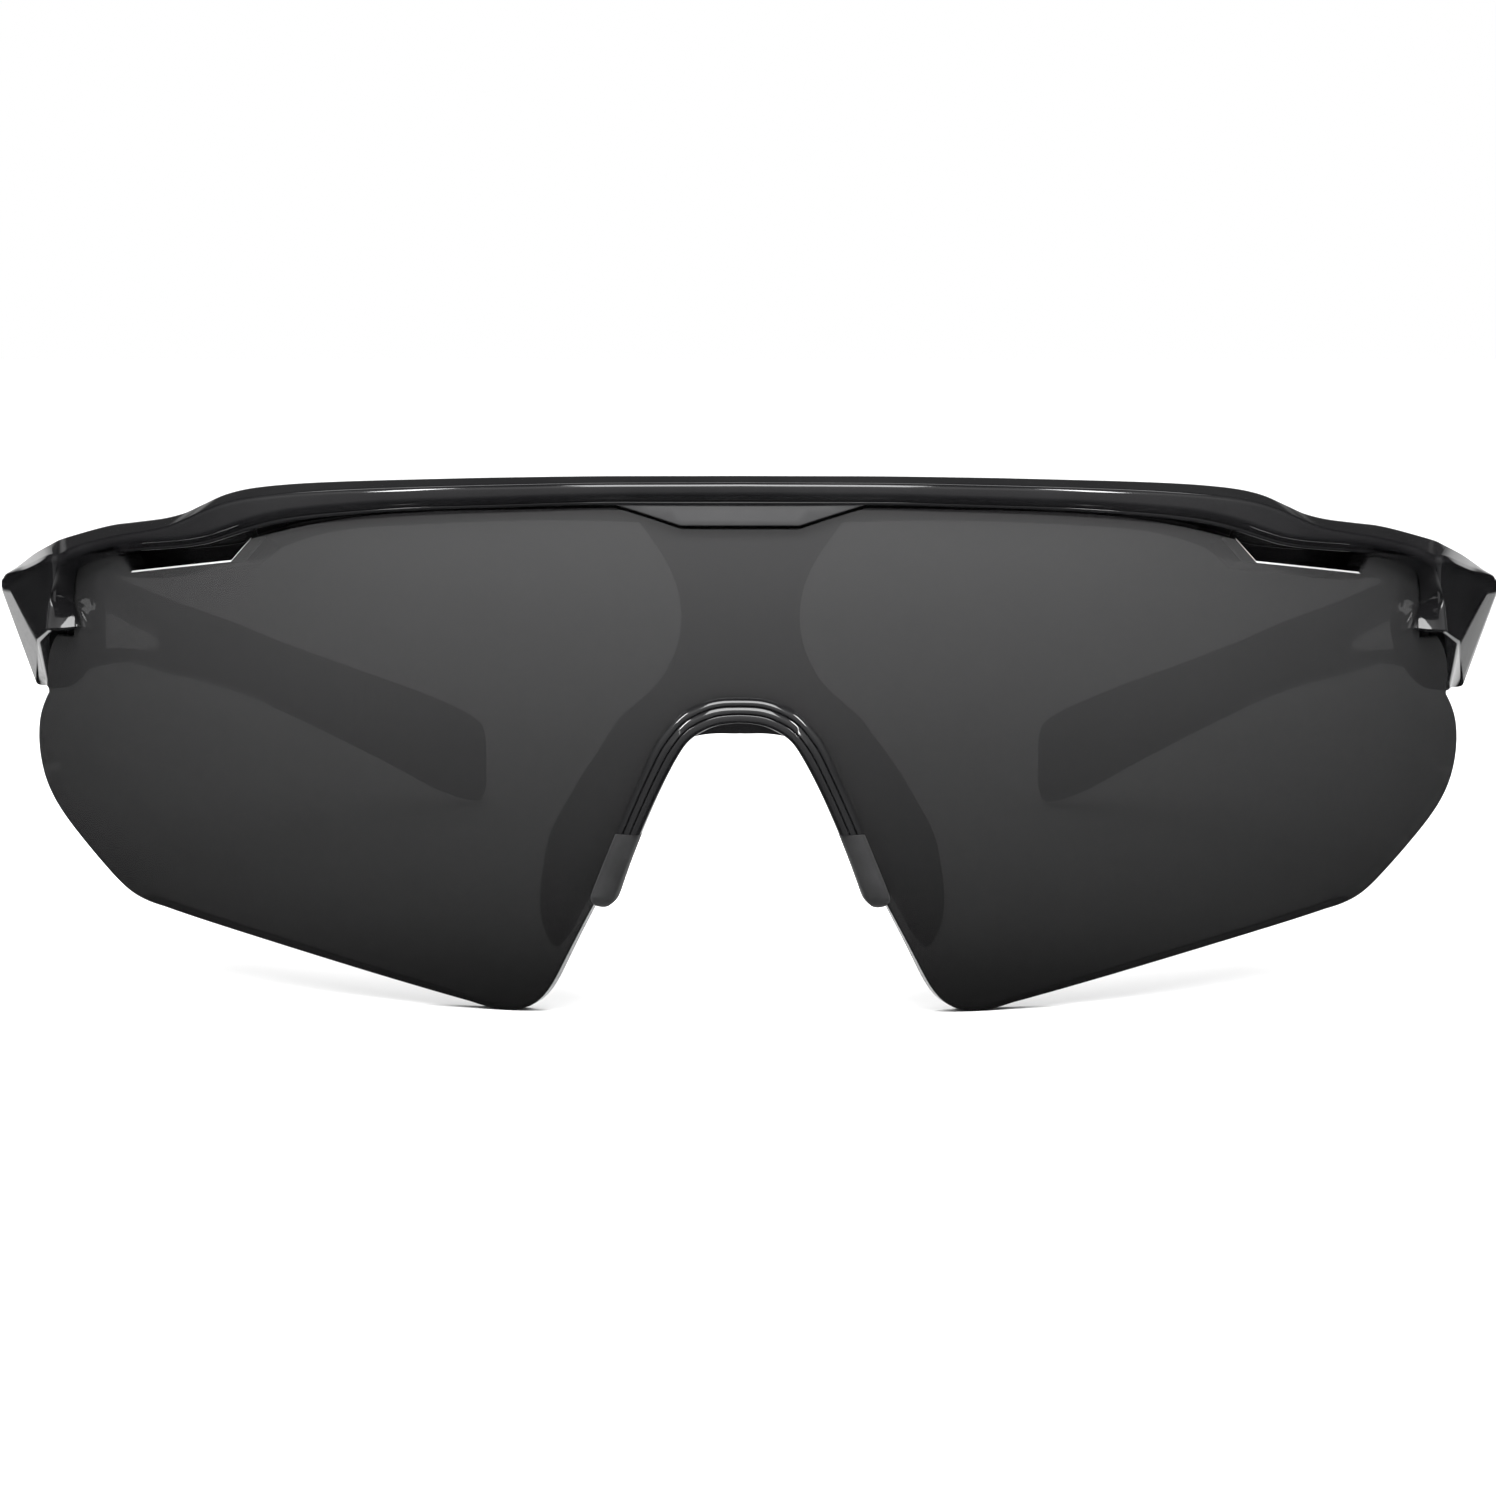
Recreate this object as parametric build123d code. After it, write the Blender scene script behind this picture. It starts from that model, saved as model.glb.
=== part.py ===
from build123d import *
import os
from math import cos, radians, sin, sqrt, tan

# Wraparound sport sunglasses with a one-piece shield lens, standing on the lens's two lower tips
# and the two temple tips. Millimetres, +Z up, the front faces -Y, the wearer's left is +X.
# The model is drawn with the lens's foremost point at Y = 0 and moved to its origin at the end.

# ---- driving dimensions -------------------------------------------------------------------
LENS_RADIUS = 80.0          # outer surface of the lens, part of a sphere
LENS_THICKNESS = 2.0
LENS_CENTRE_Z = 24.0        # height of the sphere's centre above the table
SEAT_GAP = 0.15             # between the lens's faces and the frame
CHEEK_RADIUS = 82.2         # front of the brow bar and the cheeks, about the same centre
INNER_RIM_GAP = 0.27        # between the lens and the inner rim
INNER_RIM_THICKNESS = 2.1

HINGE_X = 64.5              # hinge axis, vertical
HINGE_Y = 50.1
SPLIT_GAP = 0.05            # half of the gap between end piece and temple

TEMPLE_START_X = 71.5       # outer face at the hinge
TEMPLE_START_HEADING = 3.0  # degrees inward
TEMPLE_BEND_RADIUS = 266.0
TEMPLE_LENGTH = 124.8
GRIP_START = 75.0           # along the temple

KNUCKLE_RADIUS = 1.55
PIN_RADIUS = 0.70
PIN_CLEARANCE = 0.05
LEAF_THICKNESS = 1.0
LEAF_LENGTH = 8.6
LEAF_BOTTOM = 27.2
KNUCKLE_HEIGHT = 1.75
KNUCKLE_GAP = 0.06
SCREW_RADIUS = 0.55
SCREW_HEAD_RADIUS = 1.0
SCREW_HEAD_HEIGHT = 0.35
SCREW_GRIP = 1.0            # how far the leaf screws reach into the plastic
SCREW_FROM_HINGE = 6.4
SCREW_SPACING = 4.6
SCREW_SLOT = (0.15, 1.5, 0.3)           # depth, length, width
LEAF_CLEARANCE = 0.15       # between the knuckles and the straight part of a leaf
LINK_WIDTH = 0.9            # between the leaf's plane and the middle of a knuckle
LINK_OVERLAP = 0.5
PIN_HEAD_RADIUS = 1.25
PIN_HEAD_HEIGHT = 0.7
PIN_SLOT = (2.6, 0.35, 0.3)             # length, width, depth
WALL_OFFSET = 1.7           # from the hinge axis to the wall that carries the leaves

INNER_WALL_X = HINGE_X + WALL_OFFSET    # inner faces of end piece and temple at the hinge
LEAF_HEIGHT = 5 * KNUCKLE_HEIGHT + 4 * KNUCKLE_GAP
LENS_INNER_RADIUS = LENS_RADIUS - LENS_THICKNESS
SEAT_OUTER = LENS_RADIUS + SEAT_GAP
SEAT_INNER = LENS_INNER_RADIUS - SEAT_GAP
CENTRE = Vector(0, LENS_RADIUS, LENS_CENTRE_Z)
CONE_DEPTH = 110.0          # in front of the sphere's centre
FAR_RADIUS = 100.0
VIEW_START = LENS_RADIUS - 1.0          # where the clear view in front of the lens starts
ARCH_FRONT = LENS_RADIUS + 1.4          # radii of the nose arch, its legs and its saddle
ARCH_DRAWN = LENS_RADIUS + 1.0
ARCH_BACK = LENS_RADIUS - 3.7
LEG_BACK = LENS_RADIUS - 4.4
SADDLE_BACK = LENS_RADIUS - 6.0
TAB_FRONT = LENS_RADIUS + 0.4
TAB_BACK = SEAT_INNER - 1.0
MIRROR = Plane.YZ

# ---- outlines: (arc along the lens's equator, height), each stroke a line or a smooth curve --
LENS_TOP_NOTCH = [(0, 43.05), (5.4, 43.05)]
LENS_TOP_RAMP = [(5.4, 43.05), (8.4, 44.0), (11.4, 44.8)]
LENS_TOP = [(11.4, 44.8), (22.8, 44.5), (38.8, 43.3), (48.2, 41.4)]
VENT_FRONT = [(48.2, 41.4), (50.3, 39.3)]
VENT_FLOOR = [(50.3, 39.3), (63.9, 37.8)]
VENT_END = [(63.9, 37.8), (65.6, 39.2)]
LENS_TONGUE = [
    [(65.6, 39.2), (70.2, 39.2)],
    [(70.2, 39.2), (73.4, 38.3), (74.9, 36.6), (74.5, 35.0), (73.4, 33.4), (72.9, 31.35)],
]
VISIBLE_CORNER = [
    [(65.6, 39.2), (69.5, 38.85)],
    [(69.5, 38.85), (71.8, 38.2), (73.2, 37.3), (73.8, 36.2), (73.1, 35.1), (71.4, 33.1), (71.0, 31.35)],
]
LENS_STEP = (76.3, 31.3)
LENS_SIDE = [
    [LENS_STEP, (77.4, 30.2), (78.05, 28.5), (77.7, 25.8)],
    [(77.7, 25.8), (79.7, 23.4), (80.3, 20.9), (79.3, 17.3), (76.6, 14.6), (73.4, 12.5)],
    [(73.4, 12.5), (67.6, 8.85)],
    [(67.6, 8.85), (66.0, 8.0), (64.0, 7.35), (60.5, 6.85)],
    [(60.5, 6.85), (48.5, 5.1), (36.5, 2.9), (25.6, 0.6)],
    [(25.6, 0.6), (23.6, 0.1), (21.4, 0.0), (19.5, 0.6), (17.8, 2.1), (16.5, 4.1)],
    [(16.5, 4.1), (13.0, 10.2)],
]
LENS_NOSE = [[(13.0, 10.2), (12.0, 10.9)], [(12.0, 10.9), (10.0, 17.0), (7.0, 23.3), (4.0, 26.2), (0, 26.6)]]

BRIDGE_END_Z = 16.5
BRIDGE_OUTER = [
    (0, 28.5), (2.0, 28.4), (3.7, 27.85), (5.2, 26.95), (6.3, 25.75), (7.1, 24.7), (8.0, 22.95), (9.55, 19.5),
    (10.85, BRIDGE_END_Z),
]
BRIDGE_INNER = [
    (8.65, BRIDGE_END_Z), (7.95, 18.1), (6.25, 21.7), (5.2, 23.5), (4.1, 24.75), (2.4, 25.4), (0, 25.5),
]
LEG_OUTER = [(10.85, BRIDGE_END_Z), (13.25, 10.9)]
LEG_END = [(13.25, 10.9), (12.9, 9.75), (11.8, 9.55), (10.9, 10.7)]
LEG_INNER = [(10.9, 10.7), (8.65, BRIDGE_END_Z)]
BRIDGE_BACK_TOP = 29.6
BRIDGE_BACK = [(7.4, BRIDGE_BACK_TOP), (9.1, 27.9), (10.7, 25.9), (11.5, 23.0), (11.3, 19.5), (10.85, BRIDGE_END_Z)]

STRUT = [(7.4, BRIDGE_BACK_TOP), (6.3, 31.3), (5.5, 33.8), (5.9, 38.0), (7.6, 41.0), (9.5, 43.3)]
RIM_LOWER = [(9.5, 43.3), (17.6, 43.4), (33.6, 42.7), (44.6, 41.3), (49.6, 39.7)]
RIM_ROOT = [(49.6, 42.4), (30, 45.2), (0, 46.4)]       # buried in the brow
TAB_EDGE = [[(0, 43.15), (5.3, 43.15)], [(5.3, 43.15), (8.2, 44.05), (11.2, 44.95)], [(11.2, 44.95), (11.2, 45.6)]]

PRONG_INNER = [(70.0, 37.6), (73.2, 36.9), (74.3, 35.7), (72.9, 33.3), (72.4, 31.9), (74.0, 29.2), (78.4, 25.6)]
PRONG_OUTER_ARC = 84.0
PRONG_TOP = 38.8
PRONG_BACK_RADIUS = 73.8

# ---- brow bar stations: arc, crest, front lip, roof over the lens, rim's lower edge, rim's gap
BROW_STATIONS = [
    (0, 47.5, 45.5, 44.95, 44.3, 0.05),
    (13, 47.4, 45.4, 44.95, 44.2, 0.05),
    (26, 47.1, 44.95, 44.45, 43.75, 0.05),
    (36, 46.55, 44.3, 43.75, 43.1, 0.05),
    (42, 46.0, 43.8, 43.1, 42.3, 0.05),
    (47, 45.3, 42.8, 42.0, 41.1, 0.2),
    (51, 44.2, 41.6, 40.9, 38.5, 1.2),
    (55, 43.0, 41.0, 40.1, 38.0, 1.6),
    (59, 42.3, 40.65, 39.8, 37.8, 1.6),
    (63.5, 41.7, 40.2, 39.5, 37.4, 1.6),
    (68, 40.7, 39.6, 39.0, 37.2, 0.6),
]
BROW_BACK = 72.0            # distance from the sphere's vertical axis

# ---- end piece sections (crest, ridge, lower outer, lower inner, inner, inner top) -------------
CHEEK_ANGLE = 52.4          # degrees round the sphere's vertical axis
CHEEK_SECTION = [(80.2, 39.3), (81.7, 35.9), (81.5, 31.8), (75.0, 31.8), (74.2, 35.0), (74.6, 38.8)]
SHOULDER_ANGLE = 46.0
SHOULDER_SECTION = [(79.8, 41.3), (80.9, 40.2), (80.3, 39.6), (74.0, 38.2), (72.0, 39.2), (73.2, 41.3)]
MIDDLE_Y = 40.0
MIDDLE_SECTION = [(68.0, 38.5), (69.7, 35.7), (67.6, 25.5), (63.4, 25.5), (62.8, 34.0), (63.6, 38.4)]
END_SECTION = [(69.9, 37.1), (72.8, 35.4), (68.7, 25.3), (65.6, 25.3), (65.6, 34.0), (65.8, 37.2)]
POCKET_SIZE = (20.0, 30.0, 30.0)        # room for the hinge behind the end piece
POCKET_FRONT_Y = MIDDLE_Y - 0.4
POCKET_BOTTOM = 20.0

# ---- temple stations: along, top, bottom, ridge height, ridge bulge, foot inset, thickness ------
TEMPLE_STATIONS = [
    (0.0, 36.9, 25.4, 35.3, 1.3, 2.8, 4.9),
    (12.0, 36.3, 25.5, 33.6, 0.9, 2.0, 4.4),
    (28.7, 33.2, 25.0, 30.4, 0.5, 1.1, 4.0),
    (46.5, 29.8, 22.2, 27.0, 0.35, 0.7, 3.7),
    (61.0, 26.9, 19.6, 24.2, 0.3, 0.6, 3.5),
    (GRIP_START, 23.5, 16.2, 20.8, 0.3, 0.6, 3.4),
    (90.0, 19.8, 11.6, 16.6, 0.3, 0.6, 3.4),
    (105.0, 16.0, 6.4, 12.0, 0.3, 0.6, 3.4),
    (118.0, 12.2, 1.6, 7.6, 0.3, 0.7, 3.3),
    (TEMPLE_LENGTH, 9.6, 0.0, 5.2, 0.1, 0.8, 2.9),
]
WINDOW = [(13.5, 34.2), (28.4, 30.8), (46.2, 26.1), (47.2, 25.3), (37.4, 25.3), (29.3, 26.3), (13.5, 27.6)]
WINDOW_MIDDLE = 30.0
WINDOW_CUT = 15.0           # how far the cut reaches each side of the outer face
CORE_STATIONS = (GRIP_START - 4, 88.0, 100.0, 112.0)
CORE_THICKNESS = 1.5
CORE_INSET = 2.6
GRIP_SWELL = 0.25

# ---- nose pad wings: height, then four plan points (front inner, front outer, back outer, back inner)
WING_SECTIONS = [
    (5.3, [(15.6, 7.2), (16.6, 7.4), (17.7, 10.6), (16.4, 11.2)]),
    (9.0, [(13.8, 5.6), (15.4, 5.9), (18.4, 12.3), (16.4, 13.2)]),
    (14.0, [(10.8, 4.3), (13.2, 4.7), (17.8, 12.6), (15.6, 13.5)]),
    (19.0, [(8.4, 4.0), (11.0, 4.3), (15.4, 12.2), (13.2, 13.1)]),
    (24.0, [(5.8, 4.2), (8.6, 4.5), (12.1, 10.9), (9.9, 11.7)]),
    (27.6, [(4.4, 4.6), (7.4, 4.9), (9.2, 8.8), (7.0, 9.4)]),
]


def on_sphere(arc, height, radius):
    """Point at an arc length round the lens's equator and a height, on a sphere about CENTRE."""
    azimuth = arc / LENS_RADIUS
    reach = sqrt(radius ** 2 - (height - LENS_CENTRE_Z) ** 2)
    return Vector(reach * sin(azimuth), LENS_RADIUS - reach * cos(azimuth), height)


def on_cone_base(arc, height, radius):
    """The same point, carried along its radius to the plane that closes a cone from CENTRE."""
    ray = on_sphere(arc, height, radius) - CENTRE
    return CENTRE + ray * (CONE_DEPTH / -ray.Y)


def clockwise(strokes):
    """The strokes in the order that runs clockwise as seen from the front."""
    points = [point for stroke in strokes for point in stroke]
    turns = [a[0] * b[1] - b[0] * a[1] for a, b in zip(points, points[1:] + points[:1])]
    if sum(turns) < 0:
        return strokes
    return [list(reversed(stroke)) for stroke in reversed(strokes)]


def outline_wire(strokes, radius):
    edges = []
    for stroke in clockwise(strokes):
        points = [on_cone_base(arc, height, radius) for arc, height in stroke]
        edges.append(Edge.make_line(*points) if len(points) == 2 else Edge.make_spline(points))
    return Wire(edges)


def mirrored(strokes):
    return [[(-arc, height) for arc, height in reversed(stroke)] for stroke in reversed(strokes)]


def ball(radius):
    return Solid.make_sphere(radius, angle1=-90, angle2=90, angle3=360).moved(Location(CENTRE))


def plate(strokes, drawn_radius, outer, inner):
    """Curved plate between two spheres, with edges that run along the radii."""
    cone = Solid.make_loft([Vertex(*CENTRE), outline_wire(strokes, drawn_radius)], ruled=True)
    return (cone & ball(outer)) - ball(inner)


def single(shape):
    """The one solid of a boolean's result, the largest if a crumb is left beside it."""
    return max(shape.solids(), key=lambda solid: solid.volume)


def loft_polygons(sections, ruled):
    return Solid.make_loft([Wire.make_polygon(points) for points in sections], ruled=ruled)


def mirror_image(shape):
    return shape.mirror(MIRROR)


# ---- lens ---------------------------------------------------------------------------------
def lens_strokes(corner):
    step = [[corner[-1][-1], LENS_STEP]]
    top = [LENS_TOP_NOTCH, LENS_TOP_RAMP, LENS_TOP, VENT_FRONT, VENT_FLOOR, VENT_END]
    half = top + corner + step + LENS_SIDE + LENS_NOSE
    return half + mirrored(half)


def make_lens():
    return single(plate(lens_strokes(LENS_TONGUE), LENS_RADIUS, LENS_RADIUS, LENS_INNER_RADIUS))


# ---- front frame ----------------------------------------------------------------------------
def polar(angle, reach, height):
    return Vector(reach * sin(angle), LENS_RADIUS - reach * cos(angle), height)


def reach_at(radius, height):
    return sqrt(radius ** 2 - (height - LENS_CENTRE_Z) ** 2)


def brow_section(arc, crest, lip, roof, rim, gap):
    angle = arc / LENS_RADIUS
    front = reach_at(CHEEK_RADIUS, lip)
    face = reach_at(LENS_RADIUS + 0.4, roof)
    behind = reach_at(SEAT_INNER, rim) - gap
    behind_roof = reach_at(SEAT_INNER, roof) - gap
    profile = [
        (front, lip), (front - 0.1, lip + 0.55 * (crest - lip)), (front - 1.4, crest),
        (BROW_BACK + 1.2, crest - 0.2), (BROW_BACK, crest - 1.3), (BROW_BACK + 0.3, rim + 0.3),
        (BROW_BACK + 0.9, rim), (behind, rim), (behind_roof, roof), (face, roof), (face, lip - 0.1),
    ]
    return [polar(angle, reach, height) for reach, height in profile]


def make_brow():
    left = [brow_section(*station) for station in BROW_STATIONS]
    right = [brow_section(-station[0], *station[1:]) for station in reversed(BROW_STATIONS[1:])]
    return loft_polygons(right + left, ruled=False)


def make_end_piece():
    shoulder = [polar(radians(SHOULDER_ANGLE), *point) for point in SHOULDER_SECTION]
    cheek = [polar(radians(CHEEK_ANGLE), *point) for point in CHEEK_SECTION]
    middle = [Vector(x, MIDDLE_Y, z) for x, z in MIDDLE_SECTION]
    slant = tan(radians(TEMPLE_START_HEADING))
    end = [Vector(x, HINGE_Y - SPLIT_GAP + (x - HINGE_X) * slant, z) for x, z in END_SECTION]
    block = loft_polygons([shoulder, cheek, middle, end], ruled=True)
    low, high = (PRONG_OUTER_ARC, PRONG_INNER[-1][1]), (PRONG_OUTER_ARC, PRONG_TOP)
    inner_top = (PRONG_INNER[0][0], PRONG_TOP)
    closing = [[PRONG_INNER[-1], low], [low, high], [high, inner_top], [inner_top, PRONG_INNER[0]]]
    prong_strokes = [PRONG_INNER] + closing
    prong = plate(prong_strokes, LENS_INNER_RADIUS, SEAT_INNER, PRONG_BACK_RADIUS)
    pocket_place = (INNER_WALL_X - POCKET_SIZE[0], POCKET_FRONT_Y, POCKET_BOTTOM)
    pocket = Solid.make_box(*POCKET_SIZE).moved(Location(pocket_place))
    return (block + prong) - pocket


def make_inner_rim():
    """Strut behind the lens and the thin rim that carries on from it under the brow."""
    half = [STRUT, RIM_LOWER, [RIM_LOWER[-1], RIM_ROOT[0]], RIM_ROOT]
    foot = (0, BRIDGE_BACK_TOP)
    centre_line = [[RIM_ROOT[-1], foot], [foot, STRUT[0]]]
    front = LENS_INNER_RADIUS - INNER_RIM_GAP
    body = plate(half + centre_line, LENS_INNER_RADIUS, front, front - INNER_RIM_THICKNESS)
    return body + mirror_image(body)


def make_tab():
    """Tab that fills the notch in the lens's top edge, flush with the lens."""
    top = [TAB_EDGE[-1][-1], (-TAB_EDGE[-1][-1][0], TAB_EDGE[-1][-1][1])]
    return plate(TAB_EDGE + [top] + mirrored(TAB_EDGE), LENS_RADIUS, TAB_FRONT, TAB_BACK)


def make_front_frame(lens_region):
    view = plate(lens_strokes(VISIBLE_CORNER), LENS_RADIUS, FAR_RADIUS, VIEW_START)
    end_piece = single(make_end_piece() - view - lens_region)
    brow = make_brow() - view - lens_region
    outer = brow + end_piece + mirror_image(end_piece)
    return single(outer + make_inner_rim() + make_tab())


# ---- nose bridge and pads -------------------------------------------------------------------
def make_nose_bridge(lens_region):
    end = [[BRIDGE_OUTER[-1], BRIDGE_INNER[0]]]
    half = [BRIDGE_OUTER] + end + [BRIDGE_INNER]
    band = plate(half + mirrored(half), ARCH_DRAWN, ARCH_FRONT, ARCH_BACK)
    top = [[(0, BRIDGE_BACK_TOP), BRIDGE_BACK[0]], BRIDGE_BACK]
    back_half = top + end + [BRIDGE_INNER]
    saddle = plate(back_half + mirrored(back_half), ARCH_DRAWN, SEAT_INNER, SADDLE_BACK)
    return single((band + saddle) - lens_region)


def make_nose_pad(bridge, lens_region):
    leg_strokes = [LEG_OUTER, LEG_END, LEG_INNER, [LEG_INNER[-1], LEG_OUTER[0]]]
    leg = plate(leg_strokes, ARCH_DRAWN, ARCH_FRONT, LEG_BACK)
    wing = loft_polygons([[Vector(x, y, z) for x, y in plan] for z, plan in WING_SECTIONS], ruled=False)
    return single((leg + wing) - bridge - lens_region)


# ---- temples --------------------------------------------------------------------------------
def temple_frame(along):
    """Point on the outer face, and the outward direction, at a distance along the temple."""
    start = radians(TEMPLE_START_HEADING)
    heading = start + along / TEMPLE_BEND_RADIUS
    x = TEMPLE_START_X - TEMPLE_BEND_RADIUS * (cos(start) - cos(heading))
    # The face where the temple starts lies in a plane through the hinge axis.
    start_y = HINGE_Y + SPLIT_GAP + (TEMPLE_START_X - HINGE_X) * tan(start)
    y = start_y + TEMPLE_BEND_RADIUS * (sin(heading) - sin(start))
    return Vector(x, y, 0), Vector(cos(heading), sin(heading), 0)


def temple_section(along, top, bottom, ridge, bulge, foot, thickness):
    point, outward = temple_frame(along)
    profile = [
        (-1.1, top), (bulge * 0.4 - 0.3, top - 0.35 * (top - ridge)), (bulge, ridge),
        (-foot, bottom + 0.4), (-foot - 0.5, bottom), (-thickness + 0.5, bottom),
        (-thickness, bottom + 0.8), (-thickness, top - 0.8), (-thickness + 0.6, top),
    ]
    return [point + outward * offset + Vector(0, 0, height) for offset, height in profile]


def grown(station, swell):
    along, top, bottom, ridge, bulge, foot, thickness = station
    return (along, top + swell, bottom - min(swell, bottom), ridge, bulge + swell, foot - swell, thickness + swell)


def core_section(station):
    along, top, bottom, ridge, bulge, foot, thickness = station
    point, outward = temple_frame(along)
    middle = -0.5 * (thickness + foot * 0.5)
    inner, outer = middle - CORE_THICKNESS / 2, middle + CORE_THICKNESS / 2
    low, high = bottom + CORE_INSET, top - CORE_INSET
    corners = [(outer, high), (outer, low), (inner, low), (inner, high)]
    return [point + outward * offset + Vector(0, 0, height) for offset, height in corners]


def station_at(along):
    """Temple station at any distance, by straight interpolation between the listed ones."""
    for before, after in zip(TEMPLE_STATIONS, TEMPLE_STATIONS[1:]):
        if before[0] <= along <= after[0]:
            share = (along - before[0]) / (after[0] - before[0])
            return tuple(a + share * (b - a) for a, b in zip(before, after))
    return TEMPLE_STATIONS[-1]


def make_window():
    """Block that cuts the window, drawn on a plane that touches the outer face at the window's middle."""
    point, outward = temple_frame(WINDOW_MIDDLE)
    plane = Plane(origin=point - outward * WINDOW_CUT, x_dir=Vector(-outward.Y, outward.X, 0), z_dir=outward)
    corners = []
    for along, height in WINDOW:
        place, _ = temple_frame(along)
        corners.append(((place - point).dot(plane.x_dir), height))
    face = Face(Wire.make_polygon([plane.from_local_coords(corner) for corner in corners]))
    return Solid.extrude(face, outward * 2 * WINDOW_CUT)


def make_temple():
    shell_stations = [station for station in TEMPLE_STATIONS if station[0] <= GRIP_START]
    arm = loft_polygons([temple_section(*station) for station in shell_stations], ruled=False) - make_window()
    core = loft_polygons([core_section(station_at(a)) for a in CORE_STATIONS], ruled=False)
    return single(arm + core)


def make_ear_grip(temple):
    grip_stations = [station for station in TEMPLE_STATIONS if station[0] >= GRIP_START]
    sleeve = loft_polygons([temple_section(*grown(station, GRIP_SWELL)) for station in grip_stations], ruled=False)
    return single(sleeve - temple)


# ---- hinges ---------------------------------------------------------------------------------
def knuckle_levels(owner):
    """Bottom heights of the frame leaf's three knuckles, or of the temple leaf's two."""
    pitch = KNUCKLE_HEIGHT + KNUCKLE_GAP
    first = 0 if owner == "frame" else 1
    return [LEAF_BOTTOM + pitch * level for level in range(first, 5, 2)]


def screw_places(side):
    """Centres of a leaf's two screws, as (Y, Z)."""
    y = HINGE_Y + side * SCREW_FROM_HINGE
    middle = LEAF_BOTTOM + LEAF_HEIGHT / 2
    return {"lower": (y, middle - SCREW_SPACING / 2), "upper": (y, middle + SCREW_SPACING / 2)}


def make_leaf(owner):
    side = -1 if owner == "frame" else 1
    near = KNUCKLE_RADIUS + LEAF_CLEARANCE
    plate_x = INNER_WALL_X - LEAF_THICKNESS
    start = min(side * near, side * (near + LEAF_LENGTH))
    leaf = Solid.make_box(LEAF_THICKNESS, LEAF_LENGTH, LEAF_HEIGHT).moved(
        Location((plate_x, HINGE_Y + start, LEAF_BOTTOM)))
    link_length = near + LINK_OVERLAP
    link_start = min(0, side * link_length)
    for level in knuckle_levels(owner):
        knuckle = Solid.make_cylinder(KNUCKLE_RADIUS, KNUCKLE_HEIGHT).moved(Location((HINGE_X, HINGE_Y, level)))
        link = Solid.make_box(LINK_WIDTH, link_length, KNUCKLE_HEIGHT).moved(
            Location((plate_x, HINGE_Y + link_start, level)))
        leaf = leaf + knuckle + link
    bore_radius = PIN_RADIUS if owner == "frame" else PIN_RADIUS + PIN_CLEARANCE
    bore = Solid.make_cylinder(bore_radius, 2 * LEAF_HEIGHT)
    leaf = leaf - bore.moved(Location((HINGE_X, HINGE_Y, LEAF_BOTTOM - LEAF_HEIGHT / 2)))
    for y, z in screw_places(side).values():
        leaf = leaf - screw_shank(y, z)
    return single(leaf)


def screw_shank(y, z):
    """Shank of a leaf screw, which runs outward along +X."""
    plane = Plane(origin=(INNER_WALL_X - LEAF_THICKNESS, y, z), z_dir=(1, 0, 0))
    return Solid.make_cylinder(SCREW_RADIUS, LEAF_THICKNESS + SCREW_GRIP, plane)


def make_leaf_screw(y, z):
    head_x = INNER_WALL_X - LEAF_THICKNESS - SCREW_HEAD_HEIGHT
    head = Solid.make_cylinder(SCREW_HEAD_RADIUS, SCREW_HEAD_HEIGHT, Plane(origin=(head_x, y, z), z_dir=(1, 0, 0)))
    _, length, width = SCREW_SLOT
    slot = Solid.make_box(*SCREW_SLOT).moved(Location((head_x, y - length / 2, z - width / 2)))
    return single(head + screw_shank(y, z) - slot)


def make_hinge_pin():
    top = LEAF_BOTTOM + LEAF_HEIGHT
    shank = Solid.make_cylinder(PIN_RADIUS, LEAF_HEIGHT).moved(Location((HINGE_X, HINGE_Y, LEAF_BOTTOM)))
    head = Solid.make_cylinder(PIN_HEAD_RADIUS, PIN_HEAD_HEIGHT).moved(Location((HINGE_X, HINGE_Y, top)))
    length, width, depth = PIN_SLOT
    slot_place = (HINGE_X - length / 2, HINGE_Y - width / 2, top + PIN_HEAD_HEIGHT - depth)
    slot = Solid.make_box(*PIN_SLOT).moved(Location(slot_place))
    return single(shank + head - slot)


# ---- assembly -------------------------------------------------------------------------------
def make_nodes():
    lens = make_lens()
    lens_region = plate(lens_strokes(LENS_TONGUE), LENS_RADIUS, SEAT_OUTER, SEAT_INNER)
    bridge = make_nose_bridge(lens_region)
    temple = make_temple()
    front = make_front_frame(lens_region)
    one_side = {"temple": temple, "ear_grip": make_ear_grip(temple), "hinge_pin": make_hinge_pin()}
    one_side["nose_pad"] = make_nose_pad(bridge, lens_region)
    one_side["hinge_frame_leaf"] = make_leaf("frame")
    one_side["hinge_temple_leaf"] = make_leaf("temple")
    for owner, side in (("frame", -1), ("temple", 1)):
        for level, (y, z) in screw_places(side).items():
            one_side[f"{owner}_leaf_screw_{level}"] = make_leaf_screw(y, z)
            shank = screw_shank(y, z)
            if owner == "frame":
                front = front - shank - mirror_image(shank)
            else:
                one_side["temple"] = one_side["temple"] - shank
    nodes = {"front_frame": single(front), "shield_lens": lens, "nose_bridge": bridge}
    for name, shape in one_side.items():
        nodes[name + "_left"] = single(shape)
        nodes[name + "_right"] = single(mirror_image(shape))
    return nodes


def main():
    os.makedirs("parts", exist_ok=True)
    nodes = make_nodes()
    boxes = [shape.bounding_box() for shape in nodes.values()]
    front, back = min(box.min.Y for box in boxes), max(box.max.Y for box in boxes)
    origin = Vector(0, (front + back) / 2, min(box.min.Z for box in boxes))
    for name, shape in nodes.items():
        export_step(shape.moved(Location(-origin)), f"parts/{name}.step")
    print("depth", back - front, "origin in the drawing frame", origin)
    print("hinge axis at", HINGE_X, HINGE_Y - origin.Y)


main()
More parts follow.
